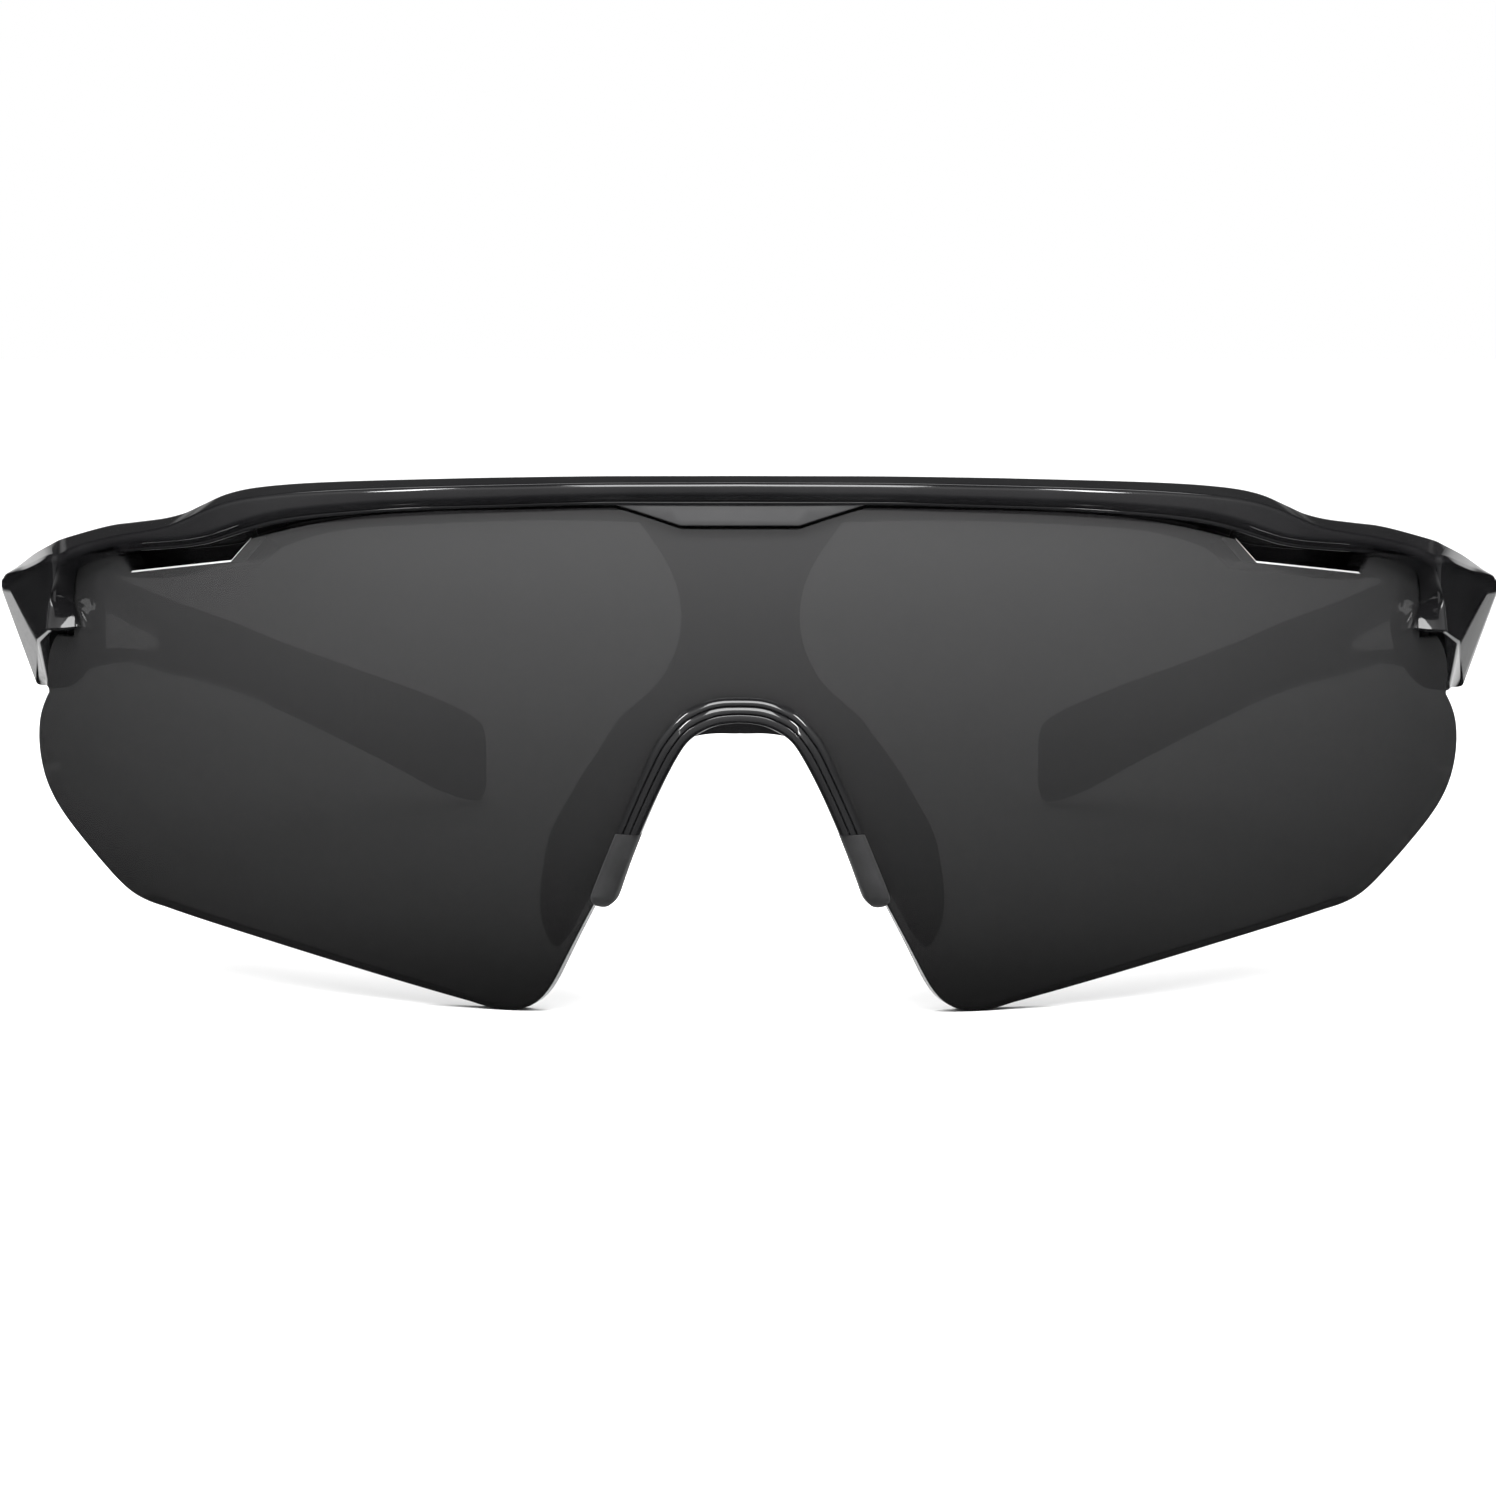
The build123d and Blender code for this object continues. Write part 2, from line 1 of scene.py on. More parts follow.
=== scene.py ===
from math import atan2, cos, pi, radians, sin, sqrt, tan

import bpy
import bmesh
import numpy as np
from mathutils import Matrix, Vector
from mathutils.geometry import delaunay_2d_cdt


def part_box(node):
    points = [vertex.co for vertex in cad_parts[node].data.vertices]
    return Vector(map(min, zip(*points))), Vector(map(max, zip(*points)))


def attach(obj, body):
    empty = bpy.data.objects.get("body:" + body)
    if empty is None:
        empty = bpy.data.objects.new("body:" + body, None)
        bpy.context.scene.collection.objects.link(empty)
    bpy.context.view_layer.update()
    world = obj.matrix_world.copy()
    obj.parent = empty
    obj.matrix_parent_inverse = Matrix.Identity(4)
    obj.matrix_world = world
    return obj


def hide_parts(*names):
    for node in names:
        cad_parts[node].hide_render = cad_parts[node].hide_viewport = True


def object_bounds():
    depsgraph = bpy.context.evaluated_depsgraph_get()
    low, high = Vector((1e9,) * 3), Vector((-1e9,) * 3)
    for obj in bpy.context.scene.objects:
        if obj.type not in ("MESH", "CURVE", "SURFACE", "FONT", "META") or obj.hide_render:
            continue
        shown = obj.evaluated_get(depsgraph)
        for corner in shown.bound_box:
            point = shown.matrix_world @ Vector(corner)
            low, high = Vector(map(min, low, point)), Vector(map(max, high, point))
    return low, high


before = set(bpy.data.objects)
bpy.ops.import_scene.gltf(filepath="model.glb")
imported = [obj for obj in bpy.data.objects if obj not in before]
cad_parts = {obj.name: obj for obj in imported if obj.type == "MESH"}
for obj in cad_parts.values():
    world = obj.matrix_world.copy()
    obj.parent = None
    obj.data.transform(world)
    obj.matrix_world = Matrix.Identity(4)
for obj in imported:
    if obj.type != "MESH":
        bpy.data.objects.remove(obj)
CAD_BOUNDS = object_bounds()

# Shapes are worked out in millimetres in a drawing frame: the lens's foremost point is at y = 0, the lens
# is part of a sphere about CENTRE, and +x is the wearer's left. These two shifts, read from the CAD nodes,
# carry the drawing frame to the row frame.
SHIFT_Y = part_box("shield_lens")[0].y * 1000
LEAF_BOTTOM = 27.2
SHIFT_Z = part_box("hinge_frame_leaf_left")[0].z * 1000 - LEAF_BOTTOM

# Radii about CENTRE: the lens's two faces, and the faces of the seat that holds it. Arc lengths are
# measured round the vertical axis at LENS_RADIUS.
LENS_RADIUS = 80.0
LENS_BACK = 78.0
SEAT_FRONT = 80.12
SEAT_BACK = 77.85
CENTRE = np.array([0.0, 80.0, 24.0])
HINGE_X = 64.5
HINGE_Y = 50.1
LOOP_SPACING = 0.12


# ---- geometry helpers ---------------------------------------------------------------------
def to_row(points):
    """Points of the drawing frame in the row frame, in metres."""
    shift = np.array([0.0, SHIFT_Y, SHIFT_Z])
    return (np.asarray(points, float) + shift) / 1000


def polar(arc, reach, height):
    """Point at an arc length round the sphere's vertical axis and a distance from that axis."""
    angle = arc / LENS_RADIUS
    return np.array([reach * sin(angle), LENS_RADIUS - reach * cos(angle), height])


def ball(arc, radius, height):
    """Point at an arc length and height, on a sphere about CENTRE."""
    return polar(arc, sqrt(radius ** 2 - (height - CENTRE[2]) ** 2), height)


def spline(points, count):
    """Points evenly spread along a natural cubic through the given ones, by chord length."""
    points = np.asarray(points, float)
    if len(points) == 2:
        t = np.linspace(0, 1, count)[:, None]
        return points[0] * (1 - t) + points[1] * t
    knots = np.concatenate([[0], np.cumsum(np.linalg.norm(np.diff(points, axis=0), axis=1))])
    h = np.diff(knots)
    n = len(points)
    matrix = np.zeros((n, n))
    right = np.zeros((n, points.shape[1]))
    matrix[0, 0] = matrix[-1, -1] = 1
    for i in range(1, n - 1):
        matrix[i, i - 1:i + 2] = h[i - 1], 2 * (h[i - 1] + h[i]), h[i]
        right[i] = 6 * ((points[i + 1] - points[i]) / h[i] - (points[i] - points[i - 1]) / h[i - 1])
    bend = np.linalg.solve(matrix, right)
    out = []
    for t in np.linspace(0, knots[-1], count):
        i = min(max(np.searchsorted(knots, t) - 1, 0), n - 2)
        a, b = (knots[i + 1] - t) / h[i], (t - knots[i]) / h[i]
        value = a * points[i] + b * points[i + 1]
        value = value + ((a ** 3 - a) * bend[i] + (b ** 3 - b) * bend[i + 1]) * h[i] ** 2 / 6
        out.append(value)
    return np.array(out)


def pchip(xs, ys, x):
    """Monotone cubic through (xs, ys) at the places x. ys may have any number of columns."""
    xs, ys, x = np.asarray(xs, float), np.asarray(ys, float), np.asarray(x, float)
    shape = ys.shape[1:]
    ys = ys.reshape(len(xs), -1)
    h = np.diff(xs)[:, None]
    slope = np.diff(ys, axis=0) / h
    tangent = np.zeros_like(ys)
    inner = slope[:-1] * slope[1:] > 0
    w1, w2 = 2 * h[1:] + h[:-1], h[1:] + 2 * h[:-1]
    with np.errstate(divide="ignore", invalid="ignore"):
        mean = (w1 + w2) / (w1 / slope[:-1] + w2 / slope[1:])
    tangent[1:-1] = np.where(inner, mean, 0)
    tangent[0], tangent[-1] = slope[0], slope[-1]
    i = np.clip(np.searchsorted(xs, x) - 1, 0, len(xs) - 2)
    t = ((x - xs[i]) / (xs[i + 1] - xs[i]))[:, None]
    hi = h[i]
    out = (2 * t ** 3 - 3 * t ** 2 + 1) * ys[i] + (t ** 3 - 2 * t ** 2 + t) * hi * tangent[i]
    out = out + (3 * t ** 2 - 2 * t ** 3) * ys[i + 1] + (t ** 3 - t ** 2) * hi * tangent[i + 1]
    return out.reshape((len(x),) + shape)


def rounded(ring, radii, steps=5):
    """Closed ring with each corner replaced by a short curve that starts radii[k] before it."""
    ring = np.asarray(ring, float)
    out = []
    for k, corner in enumerate(ring):
        before, after = ring[k - 1], ring[(k + 1) % len(ring)]
        a, b = before - corner, after - corner
        la, lb = max(np.linalg.norm(a), 1e-9), max(np.linalg.norm(b), 1e-9)
        a = corner + a * min(radii[k] / la, 0.48)
        b = corner + b * min(radii[k] / lb, 0.48)
        for t in np.linspace(0, 1, steps):
            out.append((1 - t) ** 2 * a + 2 * t * (1 - t) * corner + t ** 2 * b)
    return np.array(out)


def loft(rings):
    """Closed skin through rings of equal length, with a fan at each end."""
    rings = [np.asarray(ring) for ring in rings]
    count = len(rings[0])
    points = np.concatenate(rings + [[rings[0].mean(0)], [rings[-1].mean(0)]])
    faces = []
    for j in range(len(rings) - 1):
        for k in range(count):
            a, b = j * count + k, j * count + (k + 1) % count
            faces.append((a, b, b + count, a + count))
    first, last = len(points) - 2, len(points) - 1
    top = (len(rings) - 1) * count
    for k in range(count):
        faces.append((first, (k + 1) % count, k))
        faces.append((last, top + k, top + (k + 1) % count))
    return points, faces


def offset_loop(loop, distance):
    """Closed 2-D loop moved inward (distance > 0) for a loop that runs anticlockwise."""
    before, after = np.roll(loop, 1, axis=0), np.roll(loop, -1, axis=0)
    e1, e2 = loop - before, after - loop
    e1 /= np.maximum(np.linalg.norm(e1, axis=1), 1e-9)[:, None]
    e2 /= np.maximum(np.linalg.norm(e2, axis=1), 1e-9)[:, None]
    n1, n2 = np.stack([-e1[:, 1], e1[:, 0]], 1), np.stack([-e2[:, 1], e2[:, 0]], 1)
    n = n1 + n2
    n /= np.maximum(np.linalg.norm(n, axis=1), 1e-9)[:, None]
    stretch = 1 / np.maximum((n * n1).sum(1), 0.5)
    return loop + n * (distance * stretch)[:, None]


def area(loop):
    """Signed area of a closed 2-D loop, positive when it runs anticlockwise."""
    nxt = np.roll(loop, -1, axis=0)
    return 0.5 * float((loop[:, 0] * nxt[:, 1] - nxt[:, 0] * loop[:, 1]).sum())


def resample(loop, spacing):
    """Closed loop without points closer together than spacing."""
    kept = [loop[0]]
    for point in loop[1:]:
        if np.linalg.norm(point - kept[-1]) >= spacing:
            kept.append(point)
    if np.linalg.norm(kept[-1] - kept[0]) < spacing:
        kept.pop()
    return np.array(kept)


def inside(points, loop):
    """Which of the 2-D points lie inside a closed loop."""
    x, y = points[:, 0], points[:, 1]
    result = np.zeros(len(points), bool)
    j = len(loop) - 1
    for i in range(len(loop)):
        xi, yi, xj, yj = *loop[i], *loop[j]
        crosses = (yi > y) != (yj > y)
        with np.errstate(divide="ignore", invalid="ignore"):
            at = (xj - xi) * (y - yi) / (yj - yi) + xi
        result ^= crosses & (x < at)
        j = i
    return result


def clearance(points, loop):
    """Distance of each 2-D point from a closed loop."""
    best = np.full(len(points), np.inf)
    for p, q in zip(loop, np.roll(loop, -1, axis=0)):
        d = q - p
        t = np.clip(((points - p) @ d) / max(d @ d, 1e-12), 0, 1)
        best = np.minimum(best, np.linalg.norm(points - (p + t[:, None] * d), axis=1))
    return best


def flat_mesh(insets, grid):
    """Triangles over the plan inside insets[0] and outside the others, which also use the grid's points.
    Returns the plan points, the triangles, and each loop point's place among the plan points."""
    edges, base = [], 0
    for loop in insets:
        edges += [(base + i, base + (i + 1) % len(loop)) for i in range(len(loop))]
        base += len(loop)
    vectors = [Vector((float(p[0]), float(p[1]))) for p in list(np.concatenate(insets)) + list(grid)]
    result = delaunay_2d_cdt(vectors, edges, [], 1, 1e-7)
    plan = np.array([(v.x, v.y) for v in result[0]])
    triangles = [tuple(face) for face in result[2]]
    where = {}
    for new, olds in enumerate(result[3]):
        for old in olds:
            where[old] = new
    centres = np.array([plan[list(t)].mean(0) for t in triangles])
    good = inside(centres, insets[0])
    for loop in insets[1:]:
        good &= ~inside(centres, loop)
    turned = []
    for t in (t for t, g in zip(triangles, good) if g):
        a, b, c = plan[list(t)]
        turned.append(t if (b[0] - a[0]) * (c[1] - a[1]) - (c[0] - a[0]) * (b[1] - a[1]) > 0 else t[::-1])
    return plan, turned, where


def panel(loops, front, back, bevel, spacing, steps=4, grid=None):
    """Solid plate between two surfaces given as functions of 2-D points. loops[0] is its outline and any
    others are holes. Its edges are rounded by bevel, or by half its thickness where that is less."""
    loops = [resample(np.asarray(loop, float), LOOP_SPACING) for loop in loops]
    loops = [loop if (area(loop) > 0) == (i == 0) else loop[::-1] for i, loop in enumerate(loops)]
    insets = [offset_loop(loop, bevel) for loop in loops]
    if grid is None:
        low, high = loops[0].min(0), loops[0].max(0)
        xs = np.arange(low[0] + spacing / 2, high[0], spacing)
        ys = np.arange(low[1] + spacing / 2, high[1], spacing)
        grid = np.array([(x, y) for y in ys for x in xs])
    margin = spacing * 0.35
    keep = inside(grid, insets[0]) & (clearance(grid, insets[0]) > margin)
    for loop in insets[1:]:
        keep &= ~inside(grid, loop) & (clearance(grid, loop) > margin)
    plan, triangles, where = flat_mesh(insets, grid[keep])
    count = len(plan)
    points = [front(plan), back(plan)]
    faces = triangles + [tuple(count + i for i in t[::-1]) for t in triangles]
    total = 2 * count
    base = 0
    turns = np.linspace(0, pi / 2, steps + 1)[1:]
    profile = [(1 - sin(t), 1 - cos(t)) for t in turns]
    for loop in loops:
        size = len(loop)
        rows = [[where[base + i] for i in range(size)]]
        for near, far, order in ((front, back, profile), (back, front, profile[::-1])):
            for share, depth in order:
                spot = offset_loop(loop, bevel * share)
                a, b = near(spot), far(spot)
                gap = np.linalg.norm(b - a, axis=1)[:, None]
                points.append(a + (b - a) * np.minimum(bevel * depth / np.maximum(gap, 1e-9), 0.5))
                rows.append(list(range(total, total + size)))
                total += size
        rows.append([count + where[base + i] for i in range(size)])
        for upper, lower in zip(rows, rows[1:]):
            for i in range(size):
                j = (i + 1) % size
                faces.append((upper[i], lower[i], lower[j], upper[j]))
        base += size
    return np.concatenate(points), faces


def unchanged(points, faces):
    return points, faces


def mirrored(points, faces):
    return np.asarray(points) * [-1, 1, 1], [tuple(reversed(face)) for face in faces]


# Paired shapes are drawn on the wearer's left and mirrored for the right.
SIDES = (("left", unchanged), ("right", mirrored))


def joined(*parts):
    """One mesh from several."""
    points, faces, base = [], [], 0
    for p, f in parts:
        points.append(np.asarray(p))
        faces += [tuple(i + base for i in face) for face in f]
        base += len(p)
    return np.concatenate(points), faces


def placed(name, data):
    thing = bpy.data.objects.new(name, data)
    bpy.context.scene.collection.objects.link(thing)
    return thing


def piece(name, mesh_data, material, body, nodes, crease=40):
    """Smooth object with sharp edges where faces turn by more than the crease angle, which rides on a body
    and shows in place of the given CAD nodes."""
    points, faces = mesh_data
    mesh = bpy.data.meshes.new(name)
    mesh.from_pydata([tuple(p) for p in to_row(points)], [], faces)
    work = bmesh.new()
    work.from_mesh(mesh)
    bmesh.ops.remove_doubles(work, verts=work.verts, dist=2e-6)
    bmesh.ops.dissolve_degenerate(work, edges=work.edges, dist=1e-6)
    bmesh.ops.recalc_face_normals(work, faces=work.faces)
    work.to_mesh(mesh)
    work.free()
    mesh.shade_smooth()
    mesh.set_sharp_from_angle(angle=radians(crease))
    mesh.materials.append(material)
    thing = placed(name, mesh)
    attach(thing, body)
    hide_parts(*nodes)
    return thing


# ---- materials ------------------------------------------------------------------------------
def node_material(name):
    material = bpy.data.materials.new(name)
    material.use_nodes = True
    nodes = material.node_tree.nodes
    return material, nodes, material.node_tree.links, nodes["Principled BSDF"]


def noise(nodes, links, scale, detail=3.0, stretch=None):
    """Noise in the object's own space, of one size on every piece. Scale is in waves per metre."""
    place = nodes.new("ShaderNodeTexCoord")
    texture = nodes.new("ShaderNodeTexNoise")
    texture.inputs["Scale"].default_value = scale
    texture.inputs["Detail"].default_value = detail
    source = place.outputs["Object"]
    if stretch:
        mapping = nodes.new("ShaderNodeMapping")
        mapping.inputs["Scale"].default_value = stretch
        links.new(source, mapping.inputs["Vector"])
        source = mapping.outputs["Vector"]
    links.new(source, texture.inputs["Vector"])
    return texture.outputs["Fac"]


def ramp(nodes, links, source, low, high, start=0.35, end=0.65):
    """Numbers from low to high as the source goes from start to end."""
    scale = nodes.new("ShaderNodeMapRange")
    scale.inputs["From Min"].default_value, scale.inputs["From Max"].default_value = start, end
    scale.inputs["To Min"].default_value, scale.inputs["To Max"].default_value = low, high
    links.new(source, scale.inputs["Value"])
    return scale.outputs["Result"]


def grey_mix(nodes, links, source, dark, light, start=0.35, end=0.65):
    mix = nodes.new("ShaderNodeValToRGB")
    mix.color_ramp.elements[0].position, mix.color_ramp.elements[1].position = start, end
    mix.color_ramp.elements[0].color = (*dark, 1)
    mix.color_ramp.elements[1].color = (*light, 1)
    links.new(source, mix.inputs["Fac"])
    return mix.outputs["Color"]


def bump(nodes, links, source, bsdf, strength, distance):
    node = nodes.new("ShaderNodeBump")
    node.inputs["Strength"].default_value = strength
    node.inputs["Distance"].default_value = distance
    links.new(source, node.inputs["Height"])
    links.new(node.outputs["Normal"], bsdf.inputs["Normal"])


def make_gloss(name, dark, light, rough_low, rough_high, waviness):
    """Injection-moulded plastic: faint flow shading, hair-fine handling marks and a slight waviness."""
    material, nodes, links, bsdf = node_material(name)
    flow = noise(nodes, links, 90, 4)
    links.new(grey_mix(nodes, links, flow, dark, light), bsdf.inputs["Base Color"])
    marks = noise(nodes, links, 900, 6, (1, 1, 6))
    links.new(ramp(nodes, links, marks, rough_low, rough_high), bsdf.inputs["Roughness"])
    bump(nodes, links, noise(nodes, links, 160, 2), bsdf, waviness, 0.00008)
    bsdf.inputs["IOR"].default_value = 1.52
    return material


def make_lens_material():
    """Smoke polycarbonate with a hard coat. Its colour is painted light and shade, lighter towards the top
    and darker towards the bottom, and it is a little denser towards the bottom.
    """
    material, nodes, links, bsdf = node_material("lens_smoke")
    place = nodes.new("ShaderNodeTexCoord")
    split = nodes.new("ShaderNodeSeparateXYZ")
    links.new(place.outputs["Object"], split.inputs["Vector"])
    low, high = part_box("shield_lens")[0].z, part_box("shield_lens")[1].z
    height = ramp(nodes, links, split.outputs["Z"], 0, 1, low, high)
    # Painted light and shade: the lens's colour runs from near black at the bottom to a lighter grey at the
    # top.
    tint = grey_mix(nodes, links, height, (0.001,) * 3, (0.0230, 0.0230, 0.0235), 0, 1)
    links.new(tint, bsdf.inputs["Base Color"])
    links.new(ramp(nodes, links, height, 0.94, 0.89, 0, 1), bsdf.inputs["Alpha"])
    haze = noise(nodes, links, 1400, 5)
    links.new(ramp(nodes, links, haze, 0.035, 0.06), bsdf.inputs["Roughness"])
    bsdf.inputs["IOR"].default_value = 1.5
    bsdf.inputs["Specular IOR Level"].default_value = 0.72
    return material


def make_rubber(name, dark, light, grain):
    material, nodes, links, bsdf = node_material(name)
    patch = noise(nodes, links, 220, 4)
    links.new(grey_mix(nodes, links, patch, dark, light), bsdf.inputs["Base Color"])
    links.new(ramp(nodes, links, patch, 0.52, 0.66), bsdf.inputs["Roughness"])
    bump(nodes, links, noise(nodes, links, grain, 3), bsdf, 0.35, 0.00006)
    bsdf.inputs["Specular IOR Level"].default_value = 0.38
    bsdf.inputs["Sheen Weight"].default_value = 0.05
    return material


def make_metal(name, dark, light, rough, stretch):
    material, nodes, links, bsdf = node_material(name)
    bsdf.inputs["Metallic"].default_value = 1.0
    lines = noise(nodes, links, 1600, 4, stretch)
    links.new(grey_mix(nodes, links, lines, dark, light), bsdf.inputs["Base Color"])
    links.new(ramp(nodes, links, lines, rough, rough + 0.14), bsdf.inputs["Roughness"])
    bump(nodes, links, lines, bsdf, 0.2, 0.00002)
    return material


GLOSS = make_gloss("frame_gloss", (0.0045, 0.0045, 0.005), (0.008, 0.008, 0.0085), 0.05, 0.10, 0.10)
SATIN = make_gloss("frame_satin", (0.020, 0.020, 0.021), (0.028, 0.028, 0.029), 0.34, 0.42, 0.15)
INNER = make_gloss("frame_inner", (0.005, 0.005, 0.0055), (0.008, 0.008, 0.0085), 0.48, 0.56, 0.15)
LENS = make_lens_material()
# The lens's cut edge: a white painted highlight along the vent slot, and dark elsewhere.
LENS_RIM_PAINTED_HIGHLIGHT = make_gloss("lens_rim_painted_highlight", (0.75,) * 3, (0.9,) * 3, 0.3, 0.4, 0.1)
LENS_EDGE = make_gloss("lens_edge", (0.004,) * 3, (0.008,) * 3, 0.16, 0.24, 0.1)
PAD = make_rubber("soft_rubber", (0.013, 0.013, 0.0135), (0.021, 0.021, 0.022), 2600)
GRIP = make_rubber("grip_rubber", (0.016, 0.016, 0.017), (0.026, 0.026, 0.027), 1800)
STEEL = make_metal("hinge_steel", (0.24, 0.24, 0.25), (0.36, 0.36, 0.37), 0.24, (1, 1, 14))
SCREW = make_metal("screw_steel", (0.36, 0.36, 0.37), (0.52, 0.52, 0.53), 0.18, (8, 1, 1))


# ---- lens -----------------------------------------------------------------------------------
LENS_TOP_NOTCH = [(0, 43.05), (5.4, 43.05)]
LENS_TOP_RAMP = [(5.4, 43.05), (8.4, 44.0), (11.4, 44.8)]
LENS_TOP = [(11.4, 44.8), (22.8, 44.5), (38.8, 43.3), (48.2, 41.4)]
VENT_FRONT = [(48.2, 41.4), (50.3, 39.3)]
VENT_FLOOR = [(50.3, 39.3), (63.9, 37.8)]
VENT_END = [(63.9, 37.8), (65.6, 39.2)]
LENS_TONGUE = [
    [(65.6, 39.2), (70.2, 39.2)],
    [(70.2, 39.2), (73.4, 38.3), (74.9, 36.6), (74.5, 35.0), (73.4, 33.4), (72.9, 31.35)],
    [(72.9, 31.35), (76.3, 31.3)],
]
LENS_SIDE = [
    [(76.3, 31.3), (77.4, 30.2), (78.05, 28.5), (77.7, 25.8)],
    [(77.7, 25.8), (79.7, 23.4), (80.3, 20.9), (79.3, 17.3), (76.6, 14.6), (73.4, 12.5)],
    [(73.4, 12.5), (67.6, 8.85)],
    [(67.6, 8.85), (66.0, 8.0), (64.0, 7.35), (60.5, 6.85)],
    [(60.5, 6.85), (48.5, 5.1), (36.5, 2.9), (25.6, 0.6)],
    [(25.6, 0.6), (23.6, 0.1), (21.4, 0.0), (19.5, 0.6), (17.8, 2.1), (16.5, 4.1)],
    [(16.5, 4.1), (13.0, 10.2)],
]
LENS_NOSE = [[(13.0, 10.2), (12.0, 10.9)], [(12.0, 10.9), (10.0, 17.0), (7.0, 23.3), (4.0, 26.2), (0, 26.6)]]
LENS_BEVEL = 0.15
LENS_GRID = 1.3
# The faces of the lens's cut edge are those turned away from the sphere's own normal. They are dark up to an
# arc length, and along the vent slot's floor, where they look upward, they are painted white as a highlight.
FACE_COSINE = 0.93
DARK_EDGE_ARC = 64.2
VENT_ARCS = (48.0, 63.75)
VENT_TOP = 41.6
VENT_UPWARD = 0.2


def traced(strokes, step=0.9):
    """Points along a chain of strokes, each a line or a smooth curve, without its last point."""
    out = []
    for stroke in strokes:
        length = sum(np.hypot(b[0] - a[0], b[1] - a[1]) for a, b in zip(stroke, stroke[1:]))
        points = spline(stroke, max(2, int(length / step) + 2))
        out.extend(points[:-1])
    return np.array(out)


def both_halves(strokes):
    """Symmetric outline from the strokes of its left half, which run from the middle line round to it."""
    mirror = [[(-x, z) for x, z in reversed(stroke)] for stroke in reversed(strokes)]
    return traced(list(strokes) + mirror)


def sphere_surface(radius):
    """Function that lays plan points, each an arc length and a height, on a sphere about CENTRE."""
    def place(plan):
        return np.array([ball(arc, radius, height) for arc, height in plan])
    return place


def dress_lens_edge(lens):
    """Give the faces of the lens's cut edge their own materials: dark, and a white painted highlight along
    the vent slot's floor. At the sides it keeps the lens's.
    """
    lens.data.materials.append(LENS_EDGE)
    lens.data.materials.append(LENS_RIM_PAINTED_HIGHLIGHT)
    centre = Vector(to_row([CENTRE])[0])
    for face in lens.data.polygons:
        radial = (face.center - centre).normalized()
        arc = LENS_RADIUS * atan2(abs(radial.x), -radial.y)
        height = 1000 * (face.center.z - centre.z) + CENTRE[2]
        if abs(face.normal.dot(radial)) > FACE_COSINE or arc > DARK_EDGE_ARC:
            continue
        over_slot = VENT_ARCS[0] < arc < VENT_ARCS[1] and height < VENT_TOP
        in_vent = over_slot and face.normal.z > VENT_UPWARD
        # Faces on the vent slot's floor get the white painted highlight.
        face.material_index = 2 if in_vent else 1


def make_lens():
    top = [LENS_TOP_NOTCH, LENS_TOP_RAMP, LENS_TOP, VENT_FRONT, VENT_FLOOR, VENT_END]
    outline = both_halves(top + LENS_TONGUE + LENS_SIDE + LENS_NOSE)
    front, back = sphere_surface(LENS_RADIUS), sphere_surface(LENS_BACK)
    data = panel([outline], front, back, LENS_BEVEL, LENS_GRID, steps=1)
    lens = piece("lens_shell", data, LENS, "front", ["shield_lens"], crease=25)
    dress_lens_edge(lens)


# ---- front frame ----------------------------------------------------------------------------
# The brow bar is a skin over rings of twelve corners: foot, low, high, groove, lip, edge, crest, back top,
# back, back low, rim, roof. These columns give heights at arc lengths from the middle, then how far the rim
# hangs below the roof and how far both stand back from the lens.
BAR_ARCS = [0, 11, 22, 30, 38, 43, 47.5, 50, 52.5, 55, 57.5, 60.5, 64.5, 68]
BAR_CREST = [47.55, 47.5, 47.3, 47.05, 46.74, 46.48, 46.12, 45.82, 45.31, 44.42, 43.52, 42.9, 42.44, 42.1]
BAR_EDGE = [46.95, 46.88, 46.6, 46.3, 45.9, 45.5, 44.95, 44.45, 43.7, 42.75, 42.0, 41.5, 40.95, 40.33]
BAR_LIP = [45.84, 45.76, 45.36, 45.03, 44.45, 43.9, 42.95, 42.2, 41.55, 41.15, 40.9, 40.65, 40.2, 39.6]
BAR_ROOF = [44.95, 44.95, 44.62, 44.25, 43.6, 43.0, 42.05, 41.35, 40.72, 40.35, 40.1, 39.85, 39.55, 39.2]
RIM_DROP = [0.7, 0.7, 0.7, 0.7, 0.6, 0.5, 0.5, 1.85, 1.75, 1.66, 1.8, 2.3, 2.6, 2.4]
ROOF_GAP = [0, 0, 0, 0, 0, 0, 0.3, 1.0, 1.5, 1.6, 1.6, 1.6, 1.6, 1.2]
# Radii of the spheres that the bar's front corners lie on, and how far its back is from the vertical axis.
GROOVE_RADIUS = 81.15
HIGH_RADIUS = 81.25
LIP_RADIUS = 82.05
EDGE_RADIUS = 82.3
CREST_RADIUS = 79.6
BACK_REACH = 72.0
BAR_END_ARC = 68
# The crest's place among the corners, and how many corners run straight between the end pieces' rings.
CREST = 6
FACET_CORNERS = 4
END_STEPS = 9
# Half the gap at the hinge between an end piece and its temple.
SPLIT_GAP = 0.05


def reach_at(radius, height):
    """Distance from the vertical axis at a height on a sphere about CENTRE."""
    return sqrt(radius ** 2 - (height - CENTRE[2]) ** 2)


